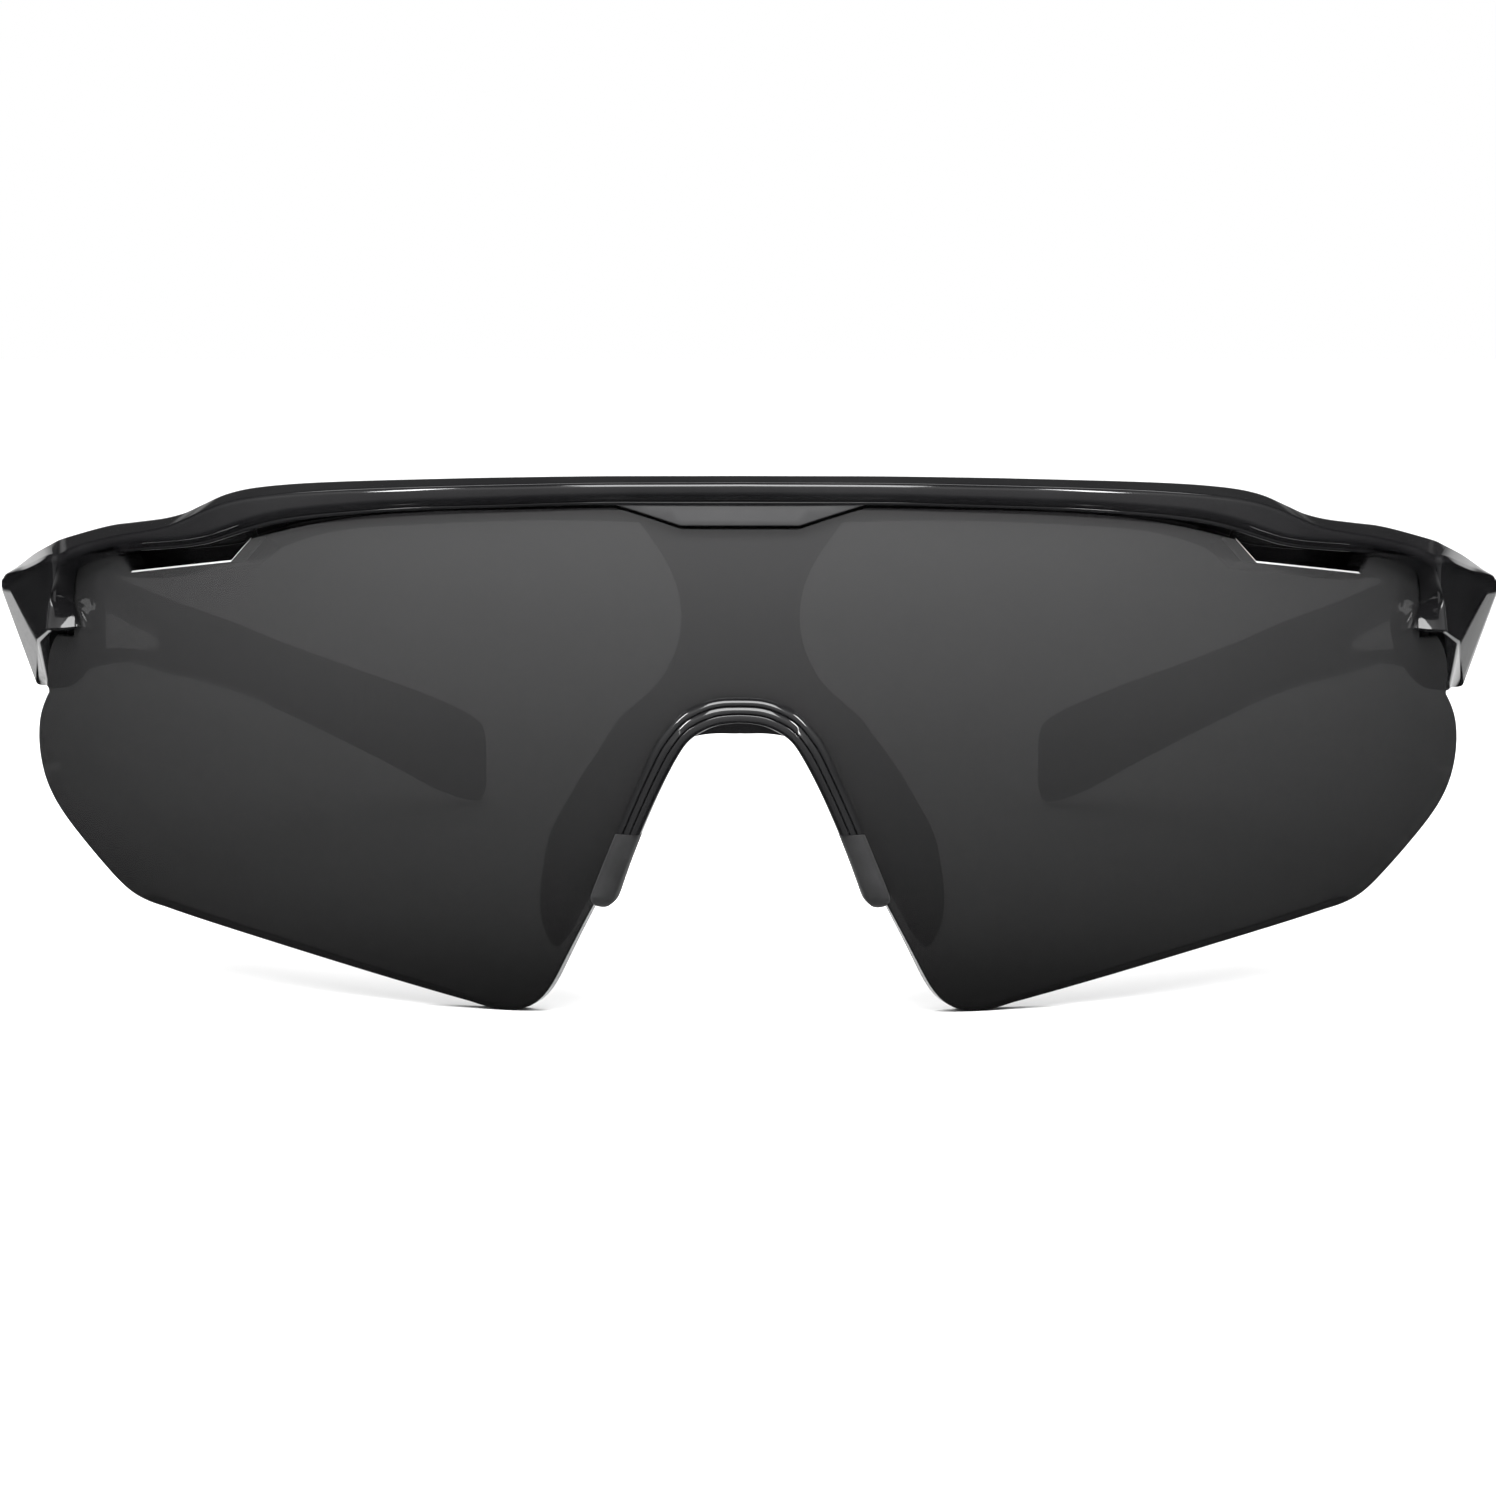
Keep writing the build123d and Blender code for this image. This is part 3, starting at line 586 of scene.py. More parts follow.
def bar_ring(arc, crest, edge, lip, roof, drop, gap):
    rim = roof - drop
    corners = [
        (reach_at(SEAT_BACK, roof) - gap, roof + 0.02),
        (reach_at(GROOVE_RADIUS, roof), roof),
        (reach_at(HIGH_RADIUS, roof), roof + 0.3 * (lip - roof)),
        (reach_at(GROOVE_RADIUS, lip - 0.36), lip - 0.36),
        (reach_at(LIP_RADIUS, lip), lip),
        (reach_at(EDGE_RADIUS, edge) - 0.12, edge),
        (reach_at(CREST_RADIUS, crest), crest),
        (BACK_REACH + 1.6, crest - 0.75),
        (BACK_REACH, crest - 2.0),
        (BACK_REACH + 0.2, rim + 0.7),
        (BACK_REACH + 1.0, rim),
        (reach_at(SEAT_BACK, rim) - gap - 0.05, rim),
    ]
    return np.array([polar(arc, reach, height) for reach, height in corners])


# Corner radii for the ring's twelve corners: in the bar, and at the end piece.
BAR_RADII = [0.15, 0.12, 0.1, 0.12, 0.36, 0.42, 0.9, 1.2, 0.6, 0.6, 0.5, 0.2]
END_RADII = [0.3, 0.3, 0.3, 0.15, 0.3, 0.4, 0.7, 0.8, 0.6, 0.6, 0.5, 0.3]

# End piece rings, as points: where the bar meets the cheek, the top of the cheek's ridge, the pillar below
# it, the outer strip's inner edge, the widest edge, and the split at the hinge.
END_RINGS = [
    [(61.3, 31.2, 38.9), (62.4, 29.3, 38.75), (62.6, 29.0, 38.85), (62.6, 28.9, 38.75),
     (62.95, 28.9, 38.98), (62.95, 29.1, 39.5), (63.9, 33.9, 40.52), (62.6, 36.6, 39.9),
     (60.6, 37.8, 38.4), (59.6, 37.5, 36.9), (59.6, 36.2, 36.4), (60.4, 32.4, 37.3)],
    [(64.2, 34.0, 37.5), (64.25, 30.95, 37.5), (64.3, 30.8, 37.65), (64.2, 30.55, 37.9),
     (64.3, 30.4, 38.35), (64.2, 30.6, 38.9), (65.0, 35.6, 40.14), (63.7, 38.2, 39.84), (61.7, 39.0, 38.3),
     (60.7, 38.2, 36.2), (60.8, 36.8, 35.0), (62.9, 35.8, 35.0)],
    [(65.7, 34.8, 31.75), (64.5, 29.75, 32.15), (64.66, 30.55, 36.05), (64.75, 30.75, 38.1),
     (64.96, 30.9, 38.35), (64.75, 31.1, 38.95), (66.1, 37.1, 39.58), (64.6, 39.4, 39.28),
     (62.6, 39.8, 38.2), (61.6, 38.6, 35.5), (61.8, 37.2, 33.0), (64.4, 36.9, 31.75)],
    [(67.2, 41.4, 25.42), (67.84, 39.9, 30.16), (70.9, 43.0, 34.7), (69.8, 41.9, 36.3),
     (69.1, 39.6, 36.95), (69.3, 40.6, 37.15), (69.2, 42.8, 38.0), (66.8, 43.6, 37.9), (64.6, 43.4, 36.6),
     (64.3, 42.9, 32.0), (64.3, 42.8, 28.0), (64.9, 42.6, 25.5)],
    [(68.6, 48.9, 25.02), (69.55, 48.6, 25.22), (72.62, 47.3, 34.6), (72.5, 46.8, 35.5),
     (72.0, 46.1, 36.1), (71.7, 46.3, 36.3), (70.8, 47.6, 36.75), (68.6, 48.4, 37.05), (66.4, 48.4, 36.7),
     (65.7, 48.3, 33.0), (65.7, 48.3, 29.0), (65.8, 48.4, 25.5)],
    [(68.1, 50.25, 25.5), (68.9, 50.3, 25.8), (72.35, 50.45, 34.8), (72.2, 50.45, 35.5),
     (71.8, 50.43, 35.9), (71.5, 50.4, 36.1), (70.3, 50.35, 36.6), (68.4, 50.25, 36.95),
     (66.6, 50.15, 36.8), (65.75, 50.1, 33.0), (65.75, 50.1, 29.0), (65.85, 50.1, 25.6)],
]


def end_rings(before):
    """Rings from the bar's last one, before[-1], out to the hinge. The front corners run straight from ring
    to ring, which makes flat facets, and the others follow smooth curves that carry on from the bar."""
    rows = np.array(list(before) + [np.array(ring, float) for ring in END_RINGS])
    steps = np.linalg.norm(np.diff(rows[:, CREST], axis=0), axis=1)
    places = np.concatenate([[0], np.cumsum(steps)])
    first = len(before) - 1
    blend_end = places[first + 2]
    rings = []
    for k in range(first, len(rows) - 1):
        a, b = places[k], places[k + 1]
        for t in np.linspace(a, b, END_STEPS)[1:]:
            ring = pchip(places, rows, [t])[0]
            near, far = rows[k, :FACET_CORNERS], rows[k + 1, :FACET_CORNERS]
            ring[:FACET_CORNERS] = near + (far - near) * (t - a) / (b - a)
            share = min(1.0, (t - places[first]) / (blend_end - places[first]))
            radii = [p * (1 - share) + q * share for p, q in zip(BAR_RADII, END_RADII)]
            rings.append(rounded(ring, radii))
    return rings


def front_rings():
    columns = np.array([BAR_CREST, BAR_EDGE, BAR_LIP, BAR_ROOF, RIM_DROP, ROOF_GAP]).T
    arcs = np.concatenate([np.linspace(0, 44, 45), np.linspace(44.5, BAR_END_ARC, 60)])
    rows = pchip(BAR_ARCS, columns, arcs)
    rings = [rounded(bar_ring(arc, *row), BAR_RADII) for arc, row in zip(arcs, rows)]
    last_arcs = BAR_ARCS[-3:]
    before = [bar_ring(arc, *row) for arc, row in zip(last_arcs, pchip(BAR_ARCS, columns, last_arcs))]
    rings += end_rings(before)
    # The split at the hinge lies in a plane through the hinge axis.
    lean = tan(radians(TEMPLE_START_HEADING))
    rings[-1][:, 1] = HINGE_Y - SPLIT_GAP + (rings[-1][:, 0] - HINGE_X) * lean
    return rings


def make_front_bar():
    half = front_rings()
    other = [ring * [-1, 1, 1] for ring in reversed(half[1:])]
    data = loft(other + half)
    bar = piece("front_bar", data, GLOSS, "front", ["front_frame"], crease=30)
    bar.modifiers.new("flat_faces", "WEIGHTED_NORMAL").keep_sharp = True


# The inner rim and its strut down to the nose arch: left half, as arc lengths and heights.
STRUT = [
    (12.9, 23.4), (11.8, 25.2), (10.4, 26.9), (9.1, 27.9), (7.6, 29.3), (6.3, 31.3), (5.5, 33.8),
    (5.9, 38.0), (7.6, 41.0), (9.5, 43.3),
]
STRUT_FOOT = [[(0, 27.6), (3.7, 27.0), (5.4, 26.0), (7.0, 24.2), (8.6, 21.0)], [(8.6, 21.0), (10.5, 19.5)],
              [(10.5, 19.5), (12.9, 23.4)]]
RIM_LOWER = [(9.5, 43.3), (17.6, 43.4), (33.6, 42.7), (44.6, 41.3), (49.6, 39.7)]
RIM_END = [(49.6, 39.7), (49.6, 42.0)]
RIM_ROOT = [(49.6, 42.0), (30, 44.6), (0, 45.6)]
RIM_FRONT = 77.73
RIM_BACK = 75.65
TAB_RAMP = [(5.25, 43.2), (8.15, 44.1), (11.15, 44.98)]
TAB_FRONT = 81.02
TAB_BACK = 76.9
PRONG_BACK = 76.7
PLATE_BEVEL = 0.35


def make_inner_rim():
    outline = both_halves(STRUT_FOOT + [STRUT, RIM_LOWER, RIM_END, RIM_ROOT])
    data = panel([outline], sphere_surface(RIM_FRONT), sphere_surface(RIM_BACK), PLATE_BEVEL, 1.6)
    piece("inner_rim", data, INNER, "front", ["front_frame"])


def make_tab():
    """Satin tab in the lens's top notch."""
    foot, end, top = [(0, 43.2), TAB_RAMP[0]], [TAB_RAMP[-1], (11.6, 45.48)], [(11.6, 45.48), (0, 45.62)]
    outline = both_halves([foot, TAB_RAMP, end, top])
    data = panel([outline], sphere_surface(TAB_FRONT), sphere_surface(TAB_BACK), 0.12, 1.0)
    piece("centre_tab", data, SATIN, "front", ["front_frame"])


PRONG_INNER = [
    (70.0, 37.6), (73.3, 36.9), (74.6, 35.4), (73.1, 33.2), (72.9, 31.6), (73.7, 29.9), (75.3, 28.1),
    (77.5, 26.6), (80.4, 25.8), (83.0, 25.6),
]
PRONG_OUTER = [(83.6, 25.6), (82.6, 31), (79.5, 38.6)]


def make_prong():
    """The part of the end piece behind the lens, seen dark through it."""
    outline = traced([PRONG_INNER, [PRONG_INNER[-1], PRONG_OUTER[0]], PRONG_OUTER,
                      [PRONG_OUTER[-1], (70.0, 38.8)], [(70.0, 38.8), PRONG_INNER[0]]])
    return panel([outline], sphere_surface(SEAT_BACK), sphere_surface(PRONG_BACK), PLATE_BEVEL, 1.2)


# The cheek in front of the lens: the rounded ridge on its outer side, which leans back towards the top, and
# the border that the lens shows.
CHEEK_OUTER = [(58.0, 24.55, 39.62), (61.4, 27.95, 39.05), (62.95, 29.5, 38.6), (64.0, 30.45, 37.95),
               (64.45, 30.65, 37.1), (64.72, 30.4, 36.05), (64.98, 29.95, 34.2), (65.15, 29.35, 32.1)]
CHEEK_INNER = [(58.51, 27.14, 39.17), (60.54, 29.29, 38.52), (61.69, 30.56, 38.07), (62.76, 31.73, 37.39),
               (63.32, 32.27, 36.71), (63.48, 32.27, 35.84), (63.0, 31.4, 34.3), (62.2, 29.95, 32.3)]
CHEEK_DIP = 0.75
CHEEK_BORDER = 0.35
CHEEK_SECTIONS = 70
RIDGE_RADIUS = 0.38


def make_cheek():
    """Skin over sections across the cheek, each with a hollow between the lens and the rounded ridge."""
    seat = SEAT_FRONT + 0.02
    outer, inner = spline(CHEEK_OUTER, CHEEK_SECTIONS), spline(CHEEK_INNER, CHEEK_SECTIONS)
    ridge_turns = np.radians(np.linspace(-65, 80, 12))
    shares = np.linspace(0, 1, 12)[:-1]
    rings = []
    for i, (a, b) in enumerate(zip(outer, inner)):
        ray = (b - CENTRE) / np.linalg.norm(b - CENTRE)
        deep, face = CENTRE + ray * seat, CENTRE + ray * (SEAT_FRONT + CHEEK_BORDER)
        outward = (a - CENTRE) / np.linalg.norm(a - CENTRE)
        across = a - face
        across = across - outward * (across @ outward)
        across /= np.linalg.norm(across)
        radius = RIDGE_RADIUS * min(1.0, 0.35 + i / 30)
        middle = a - outward * radius
        ridge = [middle + radius * (outward * cos(t) + across * sin(t)) for t in ridge_turns]
        sunk = (face + ridge[0]) / 2 - outward * CHEEK_DIP
        hollow = [face * (1 - t) ** 2 + sunk * 2 * t * (1 - t) + ridge[0] * t ** 2 for t in shares]
        tail = ridge[-1] + across * 0.1 - outward * 0.9
        rings.append(np.array([deep] + hollow + ridge + [tail, CENTRE + outward * seat]))
    return loft(rings)


def make_front():
    make_front_bar()
    make_inner_rim()
    make_tab()
    for side, turn in SIDES:
        piece(f"prong_{side}", turn(*make_prong()), INNER, "front", ["front_frame"])
        piece(f"cheek_{side}", turn(*make_cheek()), GLOSS, "front", ["front_frame"], crease=30)


# ---- nose bridge and pads -------------------------------------------------------------------
BRIDGE_END_Z = 16.5
BRIDGE_OUTER = [
    (0, 28.5), (2.0, 28.4), (3.7, 27.85), (5.2, 26.95), (6.3, 25.75), (7.1, 24.7), (8.0, 22.95), (9.55, 19.5),
    (10.85, BRIDGE_END_Z),
]
BRIDGE_INNER = [
    (0, 26.3), (2.0, 26.05), (3.4, 25.45), (4.4, 24.7), (5.2, 23.6), (6.25, 21.7), (7.95, 18.1),
    (8.65, BRIDGE_END_Z),
]
LEG_OUTER = [(10.85, BRIDGE_END_Z), (12.0, 13.8), (12.85, 11.8), (13.3, 10.6), (13.5, 9.7)]
LEG_INNER = [(8.65, BRIDGE_END_Z), (9.72, 13.9), (10.5, 11.9), (10.95, 10.7), (11.3, 9.7)]
# Across the arch from its inner edge (0) to its outer edge (1), and the radius there: the front with its
# three ridges, the front of the smooth rubber ends, and the back with the slot that grips the lens.
ARCH_FRONT = [
    (1.0, 80.14), (0.985, 80.66), (0.95, 80.84), (0.72, 81.12), (0.695, 81.1), (0.67, 80.95), (0.645, 81.08),
    (0.62, 81.13), (0.42, 81.38), (0.395, 81.36), (0.37, 81.2), (0.345, 81.34), (0.31, 81.4), (0.12, 81.42),
    (0.03, 81.2), (-0.02, 80.7),
]
LEG_FRONT = [
    (1.0, 80.14), (0.98, 80.7), (0.9, 81.1), (0.75, 81.35), (0.5, 81.45), (0.25, 81.35), (0.1, 81.1),
    (0.02, 80.7),
]
ARCH_BACK = [
    (0.02, 78.6), (0.06, 78.3), (0.16, 76.2), (0.24, 75.2), (0.4, 74.9), (0.85, 75.1), (1.0, 75.9),
    (1.0, 77.2), (0.44, 77.2), (0.44, 80.14),
]
SADDLE_SAG = 1.3
SADDLE_HALF = 4.6
SADDLE_FRONT = 78.5
ARCH_SECTIONS = 46
LEG_SECTIONS = 60
LEG_ROUNDED = 11


def channel_ring(front, outer, inner, sag=0.0):
    """Section of the arch between its edges. The saddle behind its inner edge hangs lower by sag."""
    ring = []
    for share, radius in front + ARCH_BACK:
        arc, height = inner + (outer - inner) * share
        if share < 0.3 and radius < SADDLE_FRONT:
            height -= sag
        ring.append(ball(arc, radius, height))
    return np.array(ring)


def make_bridge():
    half = []
    for outer, inner in zip(spline(BRIDGE_OUTER, ARCH_SECTIONS), spline(BRIDGE_INNER, ARCH_SECTIONS)):
        sag = SADDLE_SAG * max(0.0, 1 - (inner[0] / SADDLE_HALF) ** 2)
        half.append(channel_ring(ARCH_FRONT, outer, inner, sag))
    data = loft([ring * [-1, 1, 1] for ring in reversed(half[1:])] + half)
    piece("nose_arch", data, GLOSS, "front", ["nose_bridge"], crease=50)


# Each wing behind the lens: heights, with the four corners of its section there.
WING_SECTIONS = [
    (5.3, [(15.6, 7.2), (16.6, 7.4), (17.7, 10.6), (16.4, 11.2)]),
    (9.0, [(13.8, 5.6), (15.4, 5.9), (18.4, 12.3), (16.4, 13.2)]),
    (14.0, [(10.8, 4.3), (13.2, 4.7), (17.8, 12.6), (15.6, 13.5)]),
    (19.0, [(8.4, 4.0), (11.0, 4.3), (15.4, 12.2), (13.2, 13.1)]),
    (24.0, [(5.8, 4.2), (8.6, 4.5), (12.1, 10.9), (9.9, 11.7)]),
    (27.6, [(4.4, 4.6), (7.4, 4.9), (9.2, 8.8), (7.0, 9.4)]),
]


def make_leg():
    """Smooth rubber end of the arch, closed by a quarter circle."""
    edges = zip(spline(LEG_OUTER, LEG_SECTIONS), spline(LEG_INNER, LEG_SECTIONS))
    rings = []
    for i, (outer, inner) in enumerate(edges):
        ring = channel_ring(LEG_FRONT, outer, inner)
        close = max(0.0, (i + 1 + LEG_ROUNDED - LEG_SECTIONS) / LEG_ROUNDED)
        middle = ring.mean(0)
        rings.append(middle + (ring - middle) * sqrt(max(0.03, 1 - close ** 2)))
    return loft(rings)


def make_wing():
    """Soft wing that rests on the nose, rounded at both ends."""
    heights = [row[0] for row in WING_SECTIONS]
    plans = np.array([row[1] for row in WING_SECTIONS], float)
    low, high = heights[0], heights[-1]
    levels = low + (high - low) * (1 - np.cos(np.linspace(0, pi, 40))) / 2
    rings = []
    for z, plan in zip(levels, pchip(heights, plans, levels)):
        near_end = min((z - low) / 2.6, (high - z) / 2.0, 1.0)
        scale = sqrt(max(0.02, 1 - (1 - near_end) ** 2))
        middle = plan.mean(0)
        plan = middle + (plan - middle) * scale
        rings.append(rounded([(x, y, z) for x, y in plan], [0.85 * scale] * 4, 6))
    return loft(rings)


def make_pads():
    for side, turn in SIDES:
        data = turn(*joined(make_leg(), make_wing()))
        piece(f"nose_pad_{side}_rubber", data, PAD, "front", [f"nose_pad_{side}"], crease=60)


# ---- temples --------------------------------------------------------------------------------
TEMPLE_START_X = 71.5
TEMPLE_START_HEADING = 3.0
TEMPLE_BEND_RADIUS = 266.0
TEMPLE_LENGTH = 124.8
GRIP_START = 75.0
# along, top, bottom, ridge height, ridge bulge, foot inset, thickness
TEMPLE_STATIONS = [
    (0.0, 36.85, 25.5, 35.3, 1.25, 2.8, 4.9),
    (12.0, 36.25, 25.5, 33.6, 0.9, 2.0, 4.4),
    (28.7, 33.2, 25.0, 30.4, 0.5, 1.1, 4.0),
    (46.5, 29.8, 22.2, 27.0, 0.35, 0.7, 3.7),
    (61.0, 26.9, 19.6, 24.2, 0.3, 0.6, 3.5),
    (GRIP_START, 23.5, 16.2, 20.8, 0.3, 0.6, 3.4),
    (90.0, 19.8, 11.6, 16.6, 0.3, 0.6, 3.4),
    (105.0, 16.0, 6.4, 12.0, 0.3, 0.6, 3.4),
    (118.0, 12.2, 1.6, 7.6, 0.3, 0.7, 3.3),
    (TEMPLE_LENGTH, 9.6, 0.0, 5.2, 0.1, 0.8, 2.9),
]
STATION_ROWS = np.array(TEMPLE_STATIONS)
ARM_END = GRIP_START + 0.6
# Corners of the long window, as distances along the temple and heights.
WINDOW = [(13.5, 34.2), (28.4, 30.8), (46.2, 26.1), (47.2, 25.3), (37.4, 25.3), (29.3, 26.3), (13.5, 27.6)]


def temple_place(along):
    """Point on the temple's outer line, which bends inward evenly, and the outward direction there."""
    start = radians(TEMPLE_START_HEADING)
    heading = start + along / TEMPLE_BEND_RADIUS
    x = TEMPLE_START_X - TEMPLE_BEND_RADIUS * (cos(start) - cos(heading))
    start_y = HINGE_Y + SPLIT_GAP + (TEMPLE_START_X - HINGE_X) * tan(start)
    y = start_y + TEMPLE_BEND_RADIUS * (sin(heading) - sin(start))
    return np.array([x, y, 0.0]), np.array([cos(heading), sin(heading), 0.0])


def station(along):
    """Top, bottom, ridge height, ridge bulge, foot inset and thickness at distances along the temple."""
    return pchip(STATION_ROWS[:, 0], STATION_ROWS[:, 1:], np.atleast_1d(along))


def temple_outer(plan):
    """Outer face: it leans out from the top to a ridge, then in to the foot."""
    out = []
    for (along, height), (top, bottom, ridge, bulge, foot, _) in zip(plan, station(plan[:, 0])):
        place, outward = temple_place(along)
        levels = [bottom, bottom + 0.4, ridge - 0.35, ridge + 0.35, ridge + 0.65 * (top - ridge), top]
        offsets = [-foot - 0.25, -foot, bulge - 0.16, bulge - 0.12, bulge * 0.4 - 0.3, -0.95]
        out.append(place + outward * np.interp(height, levels, offsets) + [0, 0, height])
    return np.array(out)


def temple_inner(plan):
    out = []
    for (along, height), row in zip(plan, station(plan[:, 0])):
        place, outward = temple_place(along)
        out.append(place - outward * row[5] + [0, 0, height])
    return np.array(out)


def temple_grid(first, last, step, rows):
    """Grid of plan points that follows the temple's top, ridge and bottom lines."""
    points = []
    for along in np.arange(first + step / 2, last, step):
        top, bottom, ridge = station(along)[0][:3]
        levels = np.concatenate([
            np.linspace(bottom, ridge - 0.36, rows), [ridge, ridge + 0.36],
            np.linspace(ridge + 0.36, top, rows)[1:]])
        points += [(along, z) for z in levels]
    return np.array(points)


def rounded_outline(corners, radius, steps=6):
    """Closed 2-D outline with rounded corners and a point at least every 1.5 along its sides."""
    ring = rounded([(x, z, 0) for x, z in corners], [radius] * len(corners), steps)[:, :2]
    out = []
    for a, b in zip(ring, np.roll(ring, -1, axis=0)):
        count = max(1, int(np.linalg.norm(b - a) / 1.5))
        out += [a + (b - a) * i / count for i in range(count)]
    return np.array(out)


def make_temple():
    alongs = np.linspace(0, ARM_END, 70)
    rows = station(alongs)
    top = [(a, row[0]) for a, row in zip(alongs, rows)]
    bottom = [(a, row[1]) for a, row in zip(alongs, rows)]
    outline = np.array(bottom + top[::-1])
    window = rounded_outline(WINDOW, 0.9)
    grid = temple_grid(0, ARM_END, 1.3, 4)
    return panel([outline, window], temple_outer, temple_inner, 0.55, 1.3, grid=grid)


# ---- ear grips ------------------------------------------------------------------------------
GRIP_RIBS = [84.0 + 2.6 * i for i in range(11)]
RIB_HALF = 0.45
RIB_DEPTH = 0.3
GRIP_SWELL = 0.25
TIP_ROUND = 2.2
SLEEVE_RADII = [0.7, 0.9, 1.2, 0.9, 0.7, 0.7, 0.9, 0.9, 0.7]


def make_grip():
    """Rubber sleeve with a rolled front edge, shallow moulded grooves, and a rounded tip."""
    alongs = np.concatenate([
        [GRIP_START + 0.02], np.linspace(GRIP_START + 0.3, TEMPLE_LENGTH - TIP_ROUND, 190),
        TEMPLE_LENGTH - TIP_ROUND * np.cos(np.linspace(0.06, pi / 2, 12))])
    rings = []
    for along in np.unique(np.round(alongs, 4)):
        top, bottom, ridge, bulge, foot, thickness = station(along)[0]
        place, outward = temple_place(along)
        swell = GRIP_SWELL * min(1.0, sqrt(max(0.0, (along - GRIP_START) / 0.5)))
        groove = max(1 - abs(along - rib) / RIB_HALF for rib in GRIP_RIBS)
        groove = RIB_DEPTH * max(0.0, groove) ** 0.7
        low, high = bottom - min(swell, bottom), top + swell
        profile = [
            (-1.0, high), (bulge * 0.5 - 0.2, high - 0.35 * (top - ridge)), (bulge + swell - groove, ridge),
            (-foot * 0.6 + swell - groove, bottom + 1.2), (-foot - 0.6, low), (-thickness + 0.6, low),
            (-thickness - swell + groove, bottom + 1.4), (-thickness - swell + groove, top - 1.2),
            (-thickness + 0.5, high),
        ]
        scale = sqrt(max(0.03, 1 - (1 - min(1.0, (TEMPLE_LENGTH - along) / TIP_ROUND)) ** 2))
        middle, inward = (low + high) / 2, -thickness / 2
        ring = []
        for offset, height in profile:
            offset = inward + (offset - inward) * scale
            height = middle + (height - middle) * (0.35 + 0.65 * scale)
            ring.append(place + outward * offset + [0, 0, max(height, 0.04)])
        rings.append(rounded(ring, SLEEVE_RADII, 5))
    return loft(rings)


def make_temples():
    for side, turn in SIDES:
        body = f"temple_{side}"
        arm, sleeve = turn(*make_temple()), turn(*make_grip())
        piece(f"temple_arm_{side}", arm, GLOSS, body, [f"temple_{side}"], crease=35)
        piece(f"ear_sleeve_{side}", sleeve, GRIP, body, [f"ear_grip_{side}"], crease=50)


# ---- CAD nodes that stay ---------------------------------------------------------------------
def dress_hinges():
    """Metal for the hinges' leaves and pins, which are shown as the CAD made them."""
    for name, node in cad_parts.items():
        metal = SCREW if "screw" in name or "pin" in name else STEEL
        if "leaf" in name or "pin" in name:
            node.data.materials.clear()
            node.data.materials.append(metal)


# ---- set ------------------------------------------------------------------------------------
FLOOR_SIZE = 8.0
# The world's brightness from straight down (0) to straight up (1), where reflections look forward.
GLOW = [
    (0.0, 0.05), (0.20, 0.1), (0.45, 0.28), (0.60, 0.55), (0.70, 0.85), (0.80, 1.45), (0.90, 0.6),
    (1.0, 0.04),
]
LIGHT_DISTANCE = 0.8
CAMERA_PLACE = (0.0062425, -0.461423, 0.062872)
CAMERA_LENS = 105.52
CAMERA_SHIFT = -0.0033
CAMERA_DIP = 5.8
CAMERA_YAW = 0.84


def make_floor():
    mesh = bpy.data.meshes.new("floor")
    half = FLOOR_SIZE / 2
    corners = [(-half, -half, 0), (half, -half, 0), (half, half, 0), (-half, half, 0)]
    mesh.from_pydata(corners, [], [(0, 1, 2, 3)])
    floor = placed("floor", mesh)
    material, nodes, links, bsdf = node_material("floor")
    grain = noise(nodes, links, 30, 3)
    tint = grey_mix(nodes, links, grain, (0.86, 0.86, 0.86), (0.88, 0.88, 0.88))
    links.new(tint, bsdf.inputs["Base Color"])
    bsdf.inputs["Roughness"].default_value = 0.9
    bsdf.inputs["Specular IOR Level"].default_value = 0.0
    mesh.materials.append(material)
    floor.visible_glossy = False


def smooth(nodes, links, source, start, end, low=0.0, high=1.0):
    """Numbers that ease from low to high as the source goes from start to end."""
    scale = nodes.new("ShaderNodeMapRange")
    scale.interpolation_type = "SMOOTHSTEP"
    scale.inputs["From Min"].default_value, scale.inputs["From Max"].default_value = start, end
    scale.inputs["To Min"].default_value, scale.inputs["To Max"].default_value = low, high
    links.new(source, scale.inputs["Value"])
    return scale.outputs["Result"]


def combine(nodes, links, operation, first, second):
    node = nodes.new("ShaderNodeMath")
    node.operation = operation
    links.new(first, node.inputs[0])
    links.new(second, node.inputs[1])
    return node.outputs["Value"]


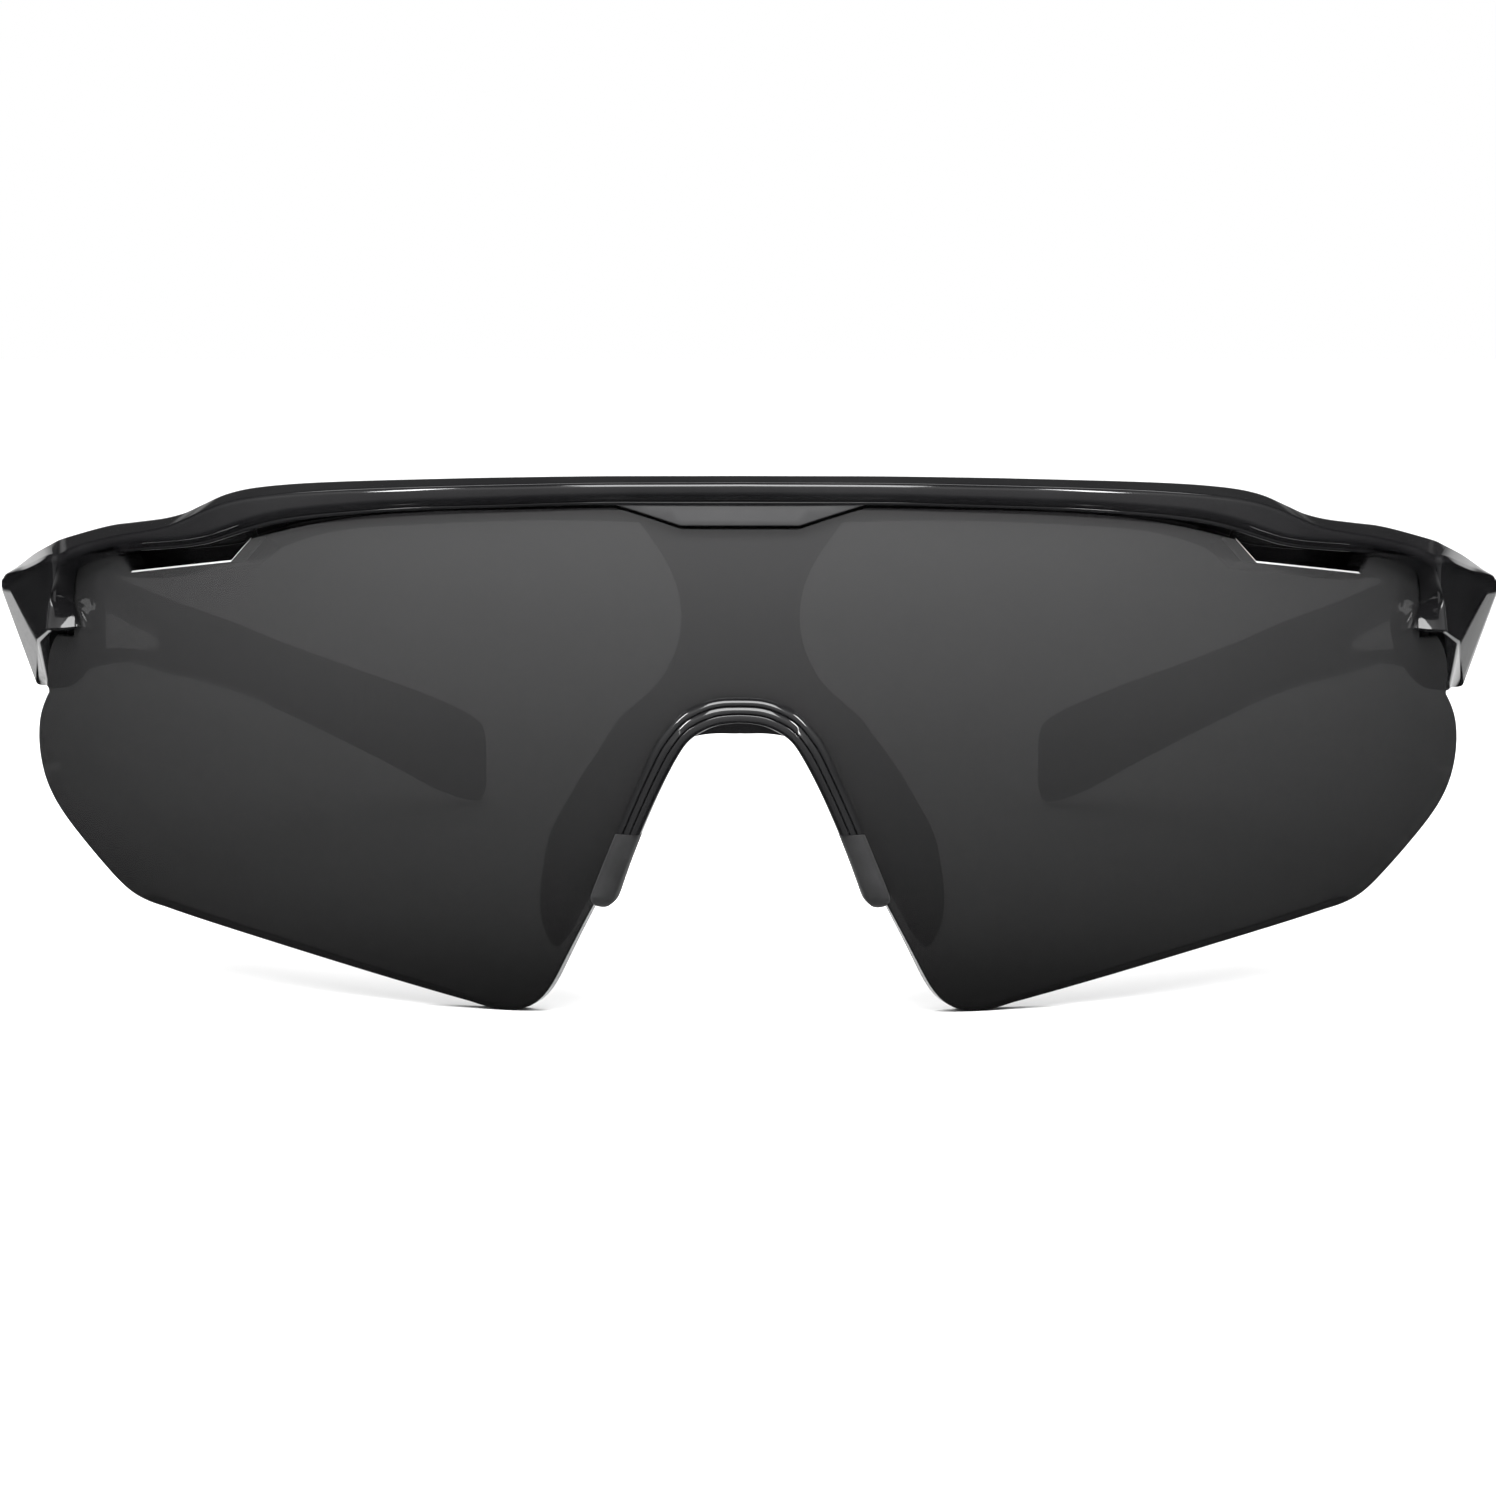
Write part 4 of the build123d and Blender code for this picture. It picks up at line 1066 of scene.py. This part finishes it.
def make_world():
    """White to the camera. To reflections and as light: a soft glow in front that grows with height and is
    dark straight above, and a white sweep behind, low down."""
    world = bpy.data.worlds.new("studio")
    bpy.context.scene.world = world
    world.use_nodes = True
    nodes, links = world.node_tree.nodes, world.node_tree.links
    place = nodes.new("ShaderNodeTexCoord")
    split = nodes.new("ShaderNodeSeparateXYZ")
    links.new(place.outputs["Generated"], split.inputs["Vector"])
    depth, height = split.outputs["Y"], split.outputs["Z"]
    glow = nodes.new("ShaderNodeValToRGB")
    while len(glow.color_ramp.elements) < len(GLOW):
        glow.color_ramp.elements.new(0.5)
    for element, (place_at, grey) in zip(glow.color_ramp.elements, GLOW):
        element.position, element.color = place_at, (grey, grey, grey, 1)
    links.new(ramp(nodes, links, height, 0, 1, -1, 1), glow.inputs["Fac"])
    fade = smooth(nodes, links, depth, -0.75, 0.7, 1.0, 0.03)
    front = combine(nodes, links, "MULTIPLY", glow.outputs["Color"], fade)
    sweep = combine(nodes, links, "MULTIPLY", smooth(nodes, links, depth, 0.82, 0.86),
                    smooth(nodes, links, height, 0.06, 0.26, 1.0, 0.03))
    total = combine(nodes, links, "ADD", front, sweep)
    studio, white = nodes["Background"], nodes.new("ShaderNodeBackground")
    links.new(total, studio.inputs["Color"])
    white.inputs["Color"].default_value = (1, 1, 1, 1)
    path, mix = nodes.new("ShaderNodeLightPath"), nodes.new("ShaderNodeMixShader")
    links.new(path.outputs["Is Camera Ray"], mix.inputs["Fac"])
    links.new(studio.outputs["Background"], mix.inputs[1])
    links.new(white.outputs["Background"], mix.inputs[2])
    links.new(mix.outputs["Shader"], nodes["World Output"].inputs["Surface"])


def area_light(name, place, target, width, height, radiance):
    """Soft box with the given radiance, which the camera doesn't see."""
    data = bpy.data.lights.new(name, "AREA")
    data.shape = "RECTANGLE"
    data.size, data.size_y = width, height
    data.energy = radiance * pi * width * height
    light = placed(name, data)
    light.location = place
    light.rotation_euler = (Vector(target) - Vector(place)).to_track_quat("-Z", "Y").to_euler()
    light.visible_camera = False


def around(azimuth, elevation, distance):
    """Place at an azimuth from straight ahead of the object, positive to the wearer's left."""
    a, e = radians(azimuth), radians(elevation)
    return Vector((sin(a) * cos(e), -cos(a) * cos(e), sin(e))) * distance


def make_lights():
    middle = Vector((0, CAD_BOUNDS[0][1] + 0.02, 0.03))
    area_light("strip_high", middle + around(0, 52, LIGHT_DISTANCE), middle, 0.62, 0.36, 10.5)
    area_light("strip_top", middle + around(180, 68, LIGHT_DISTANCE), middle, 1.1, 0.14, 3.2)
    for side in (-1, 1):
        area_light(f"box_{side}", middle + around(58 * side, 38, LIGHT_DISTANCE), middle, 0.09, 0.22, 32)
    data = bpy.data.lights.new("ceiling", "SUN")
    data.energy, data.angle = 3.6, radians(70)
    ceiling = placed("ceiling", data)
    ceiling.visible_glossy = False
    ceiling.rotation_euler = (radians(-8), 0, 0)


def make_camera():
    dip, yaw = radians(CAMERA_DIP), radians(CAMERA_YAW)
    ahead = Vector((-sin(yaw) * cos(dip), cos(yaw) * cos(dip), -sin(dip)))
    right = Vector((cos(yaw), sin(yaw), 0))
    up = right.cross(ahead)
    data = bpy.data.cameras.new("camera")
    data.sensor_width, data.lens = 36, CAMERA_LENS
    data.shift_y = CAMERA_SHIFT
    data.clip_start, data.clip_end = 0.01, 30
    camera = placed("camera", data)
    turn = Matrix((right, up, -ahead)).transposed().to_4x4()
    camera.matrix_world = Matrix.Translation(CAMERA_PLACE) @ turn
    bpy.context.scene.camera = camera


make_lens()
make_front()
make_bridge()
make_pads()
make_temples()
dress_hinges()
make_floor()
make_world()
make_lights()
make_camera()
bpy.context.scene.view_settings.view_transform = "Standard"
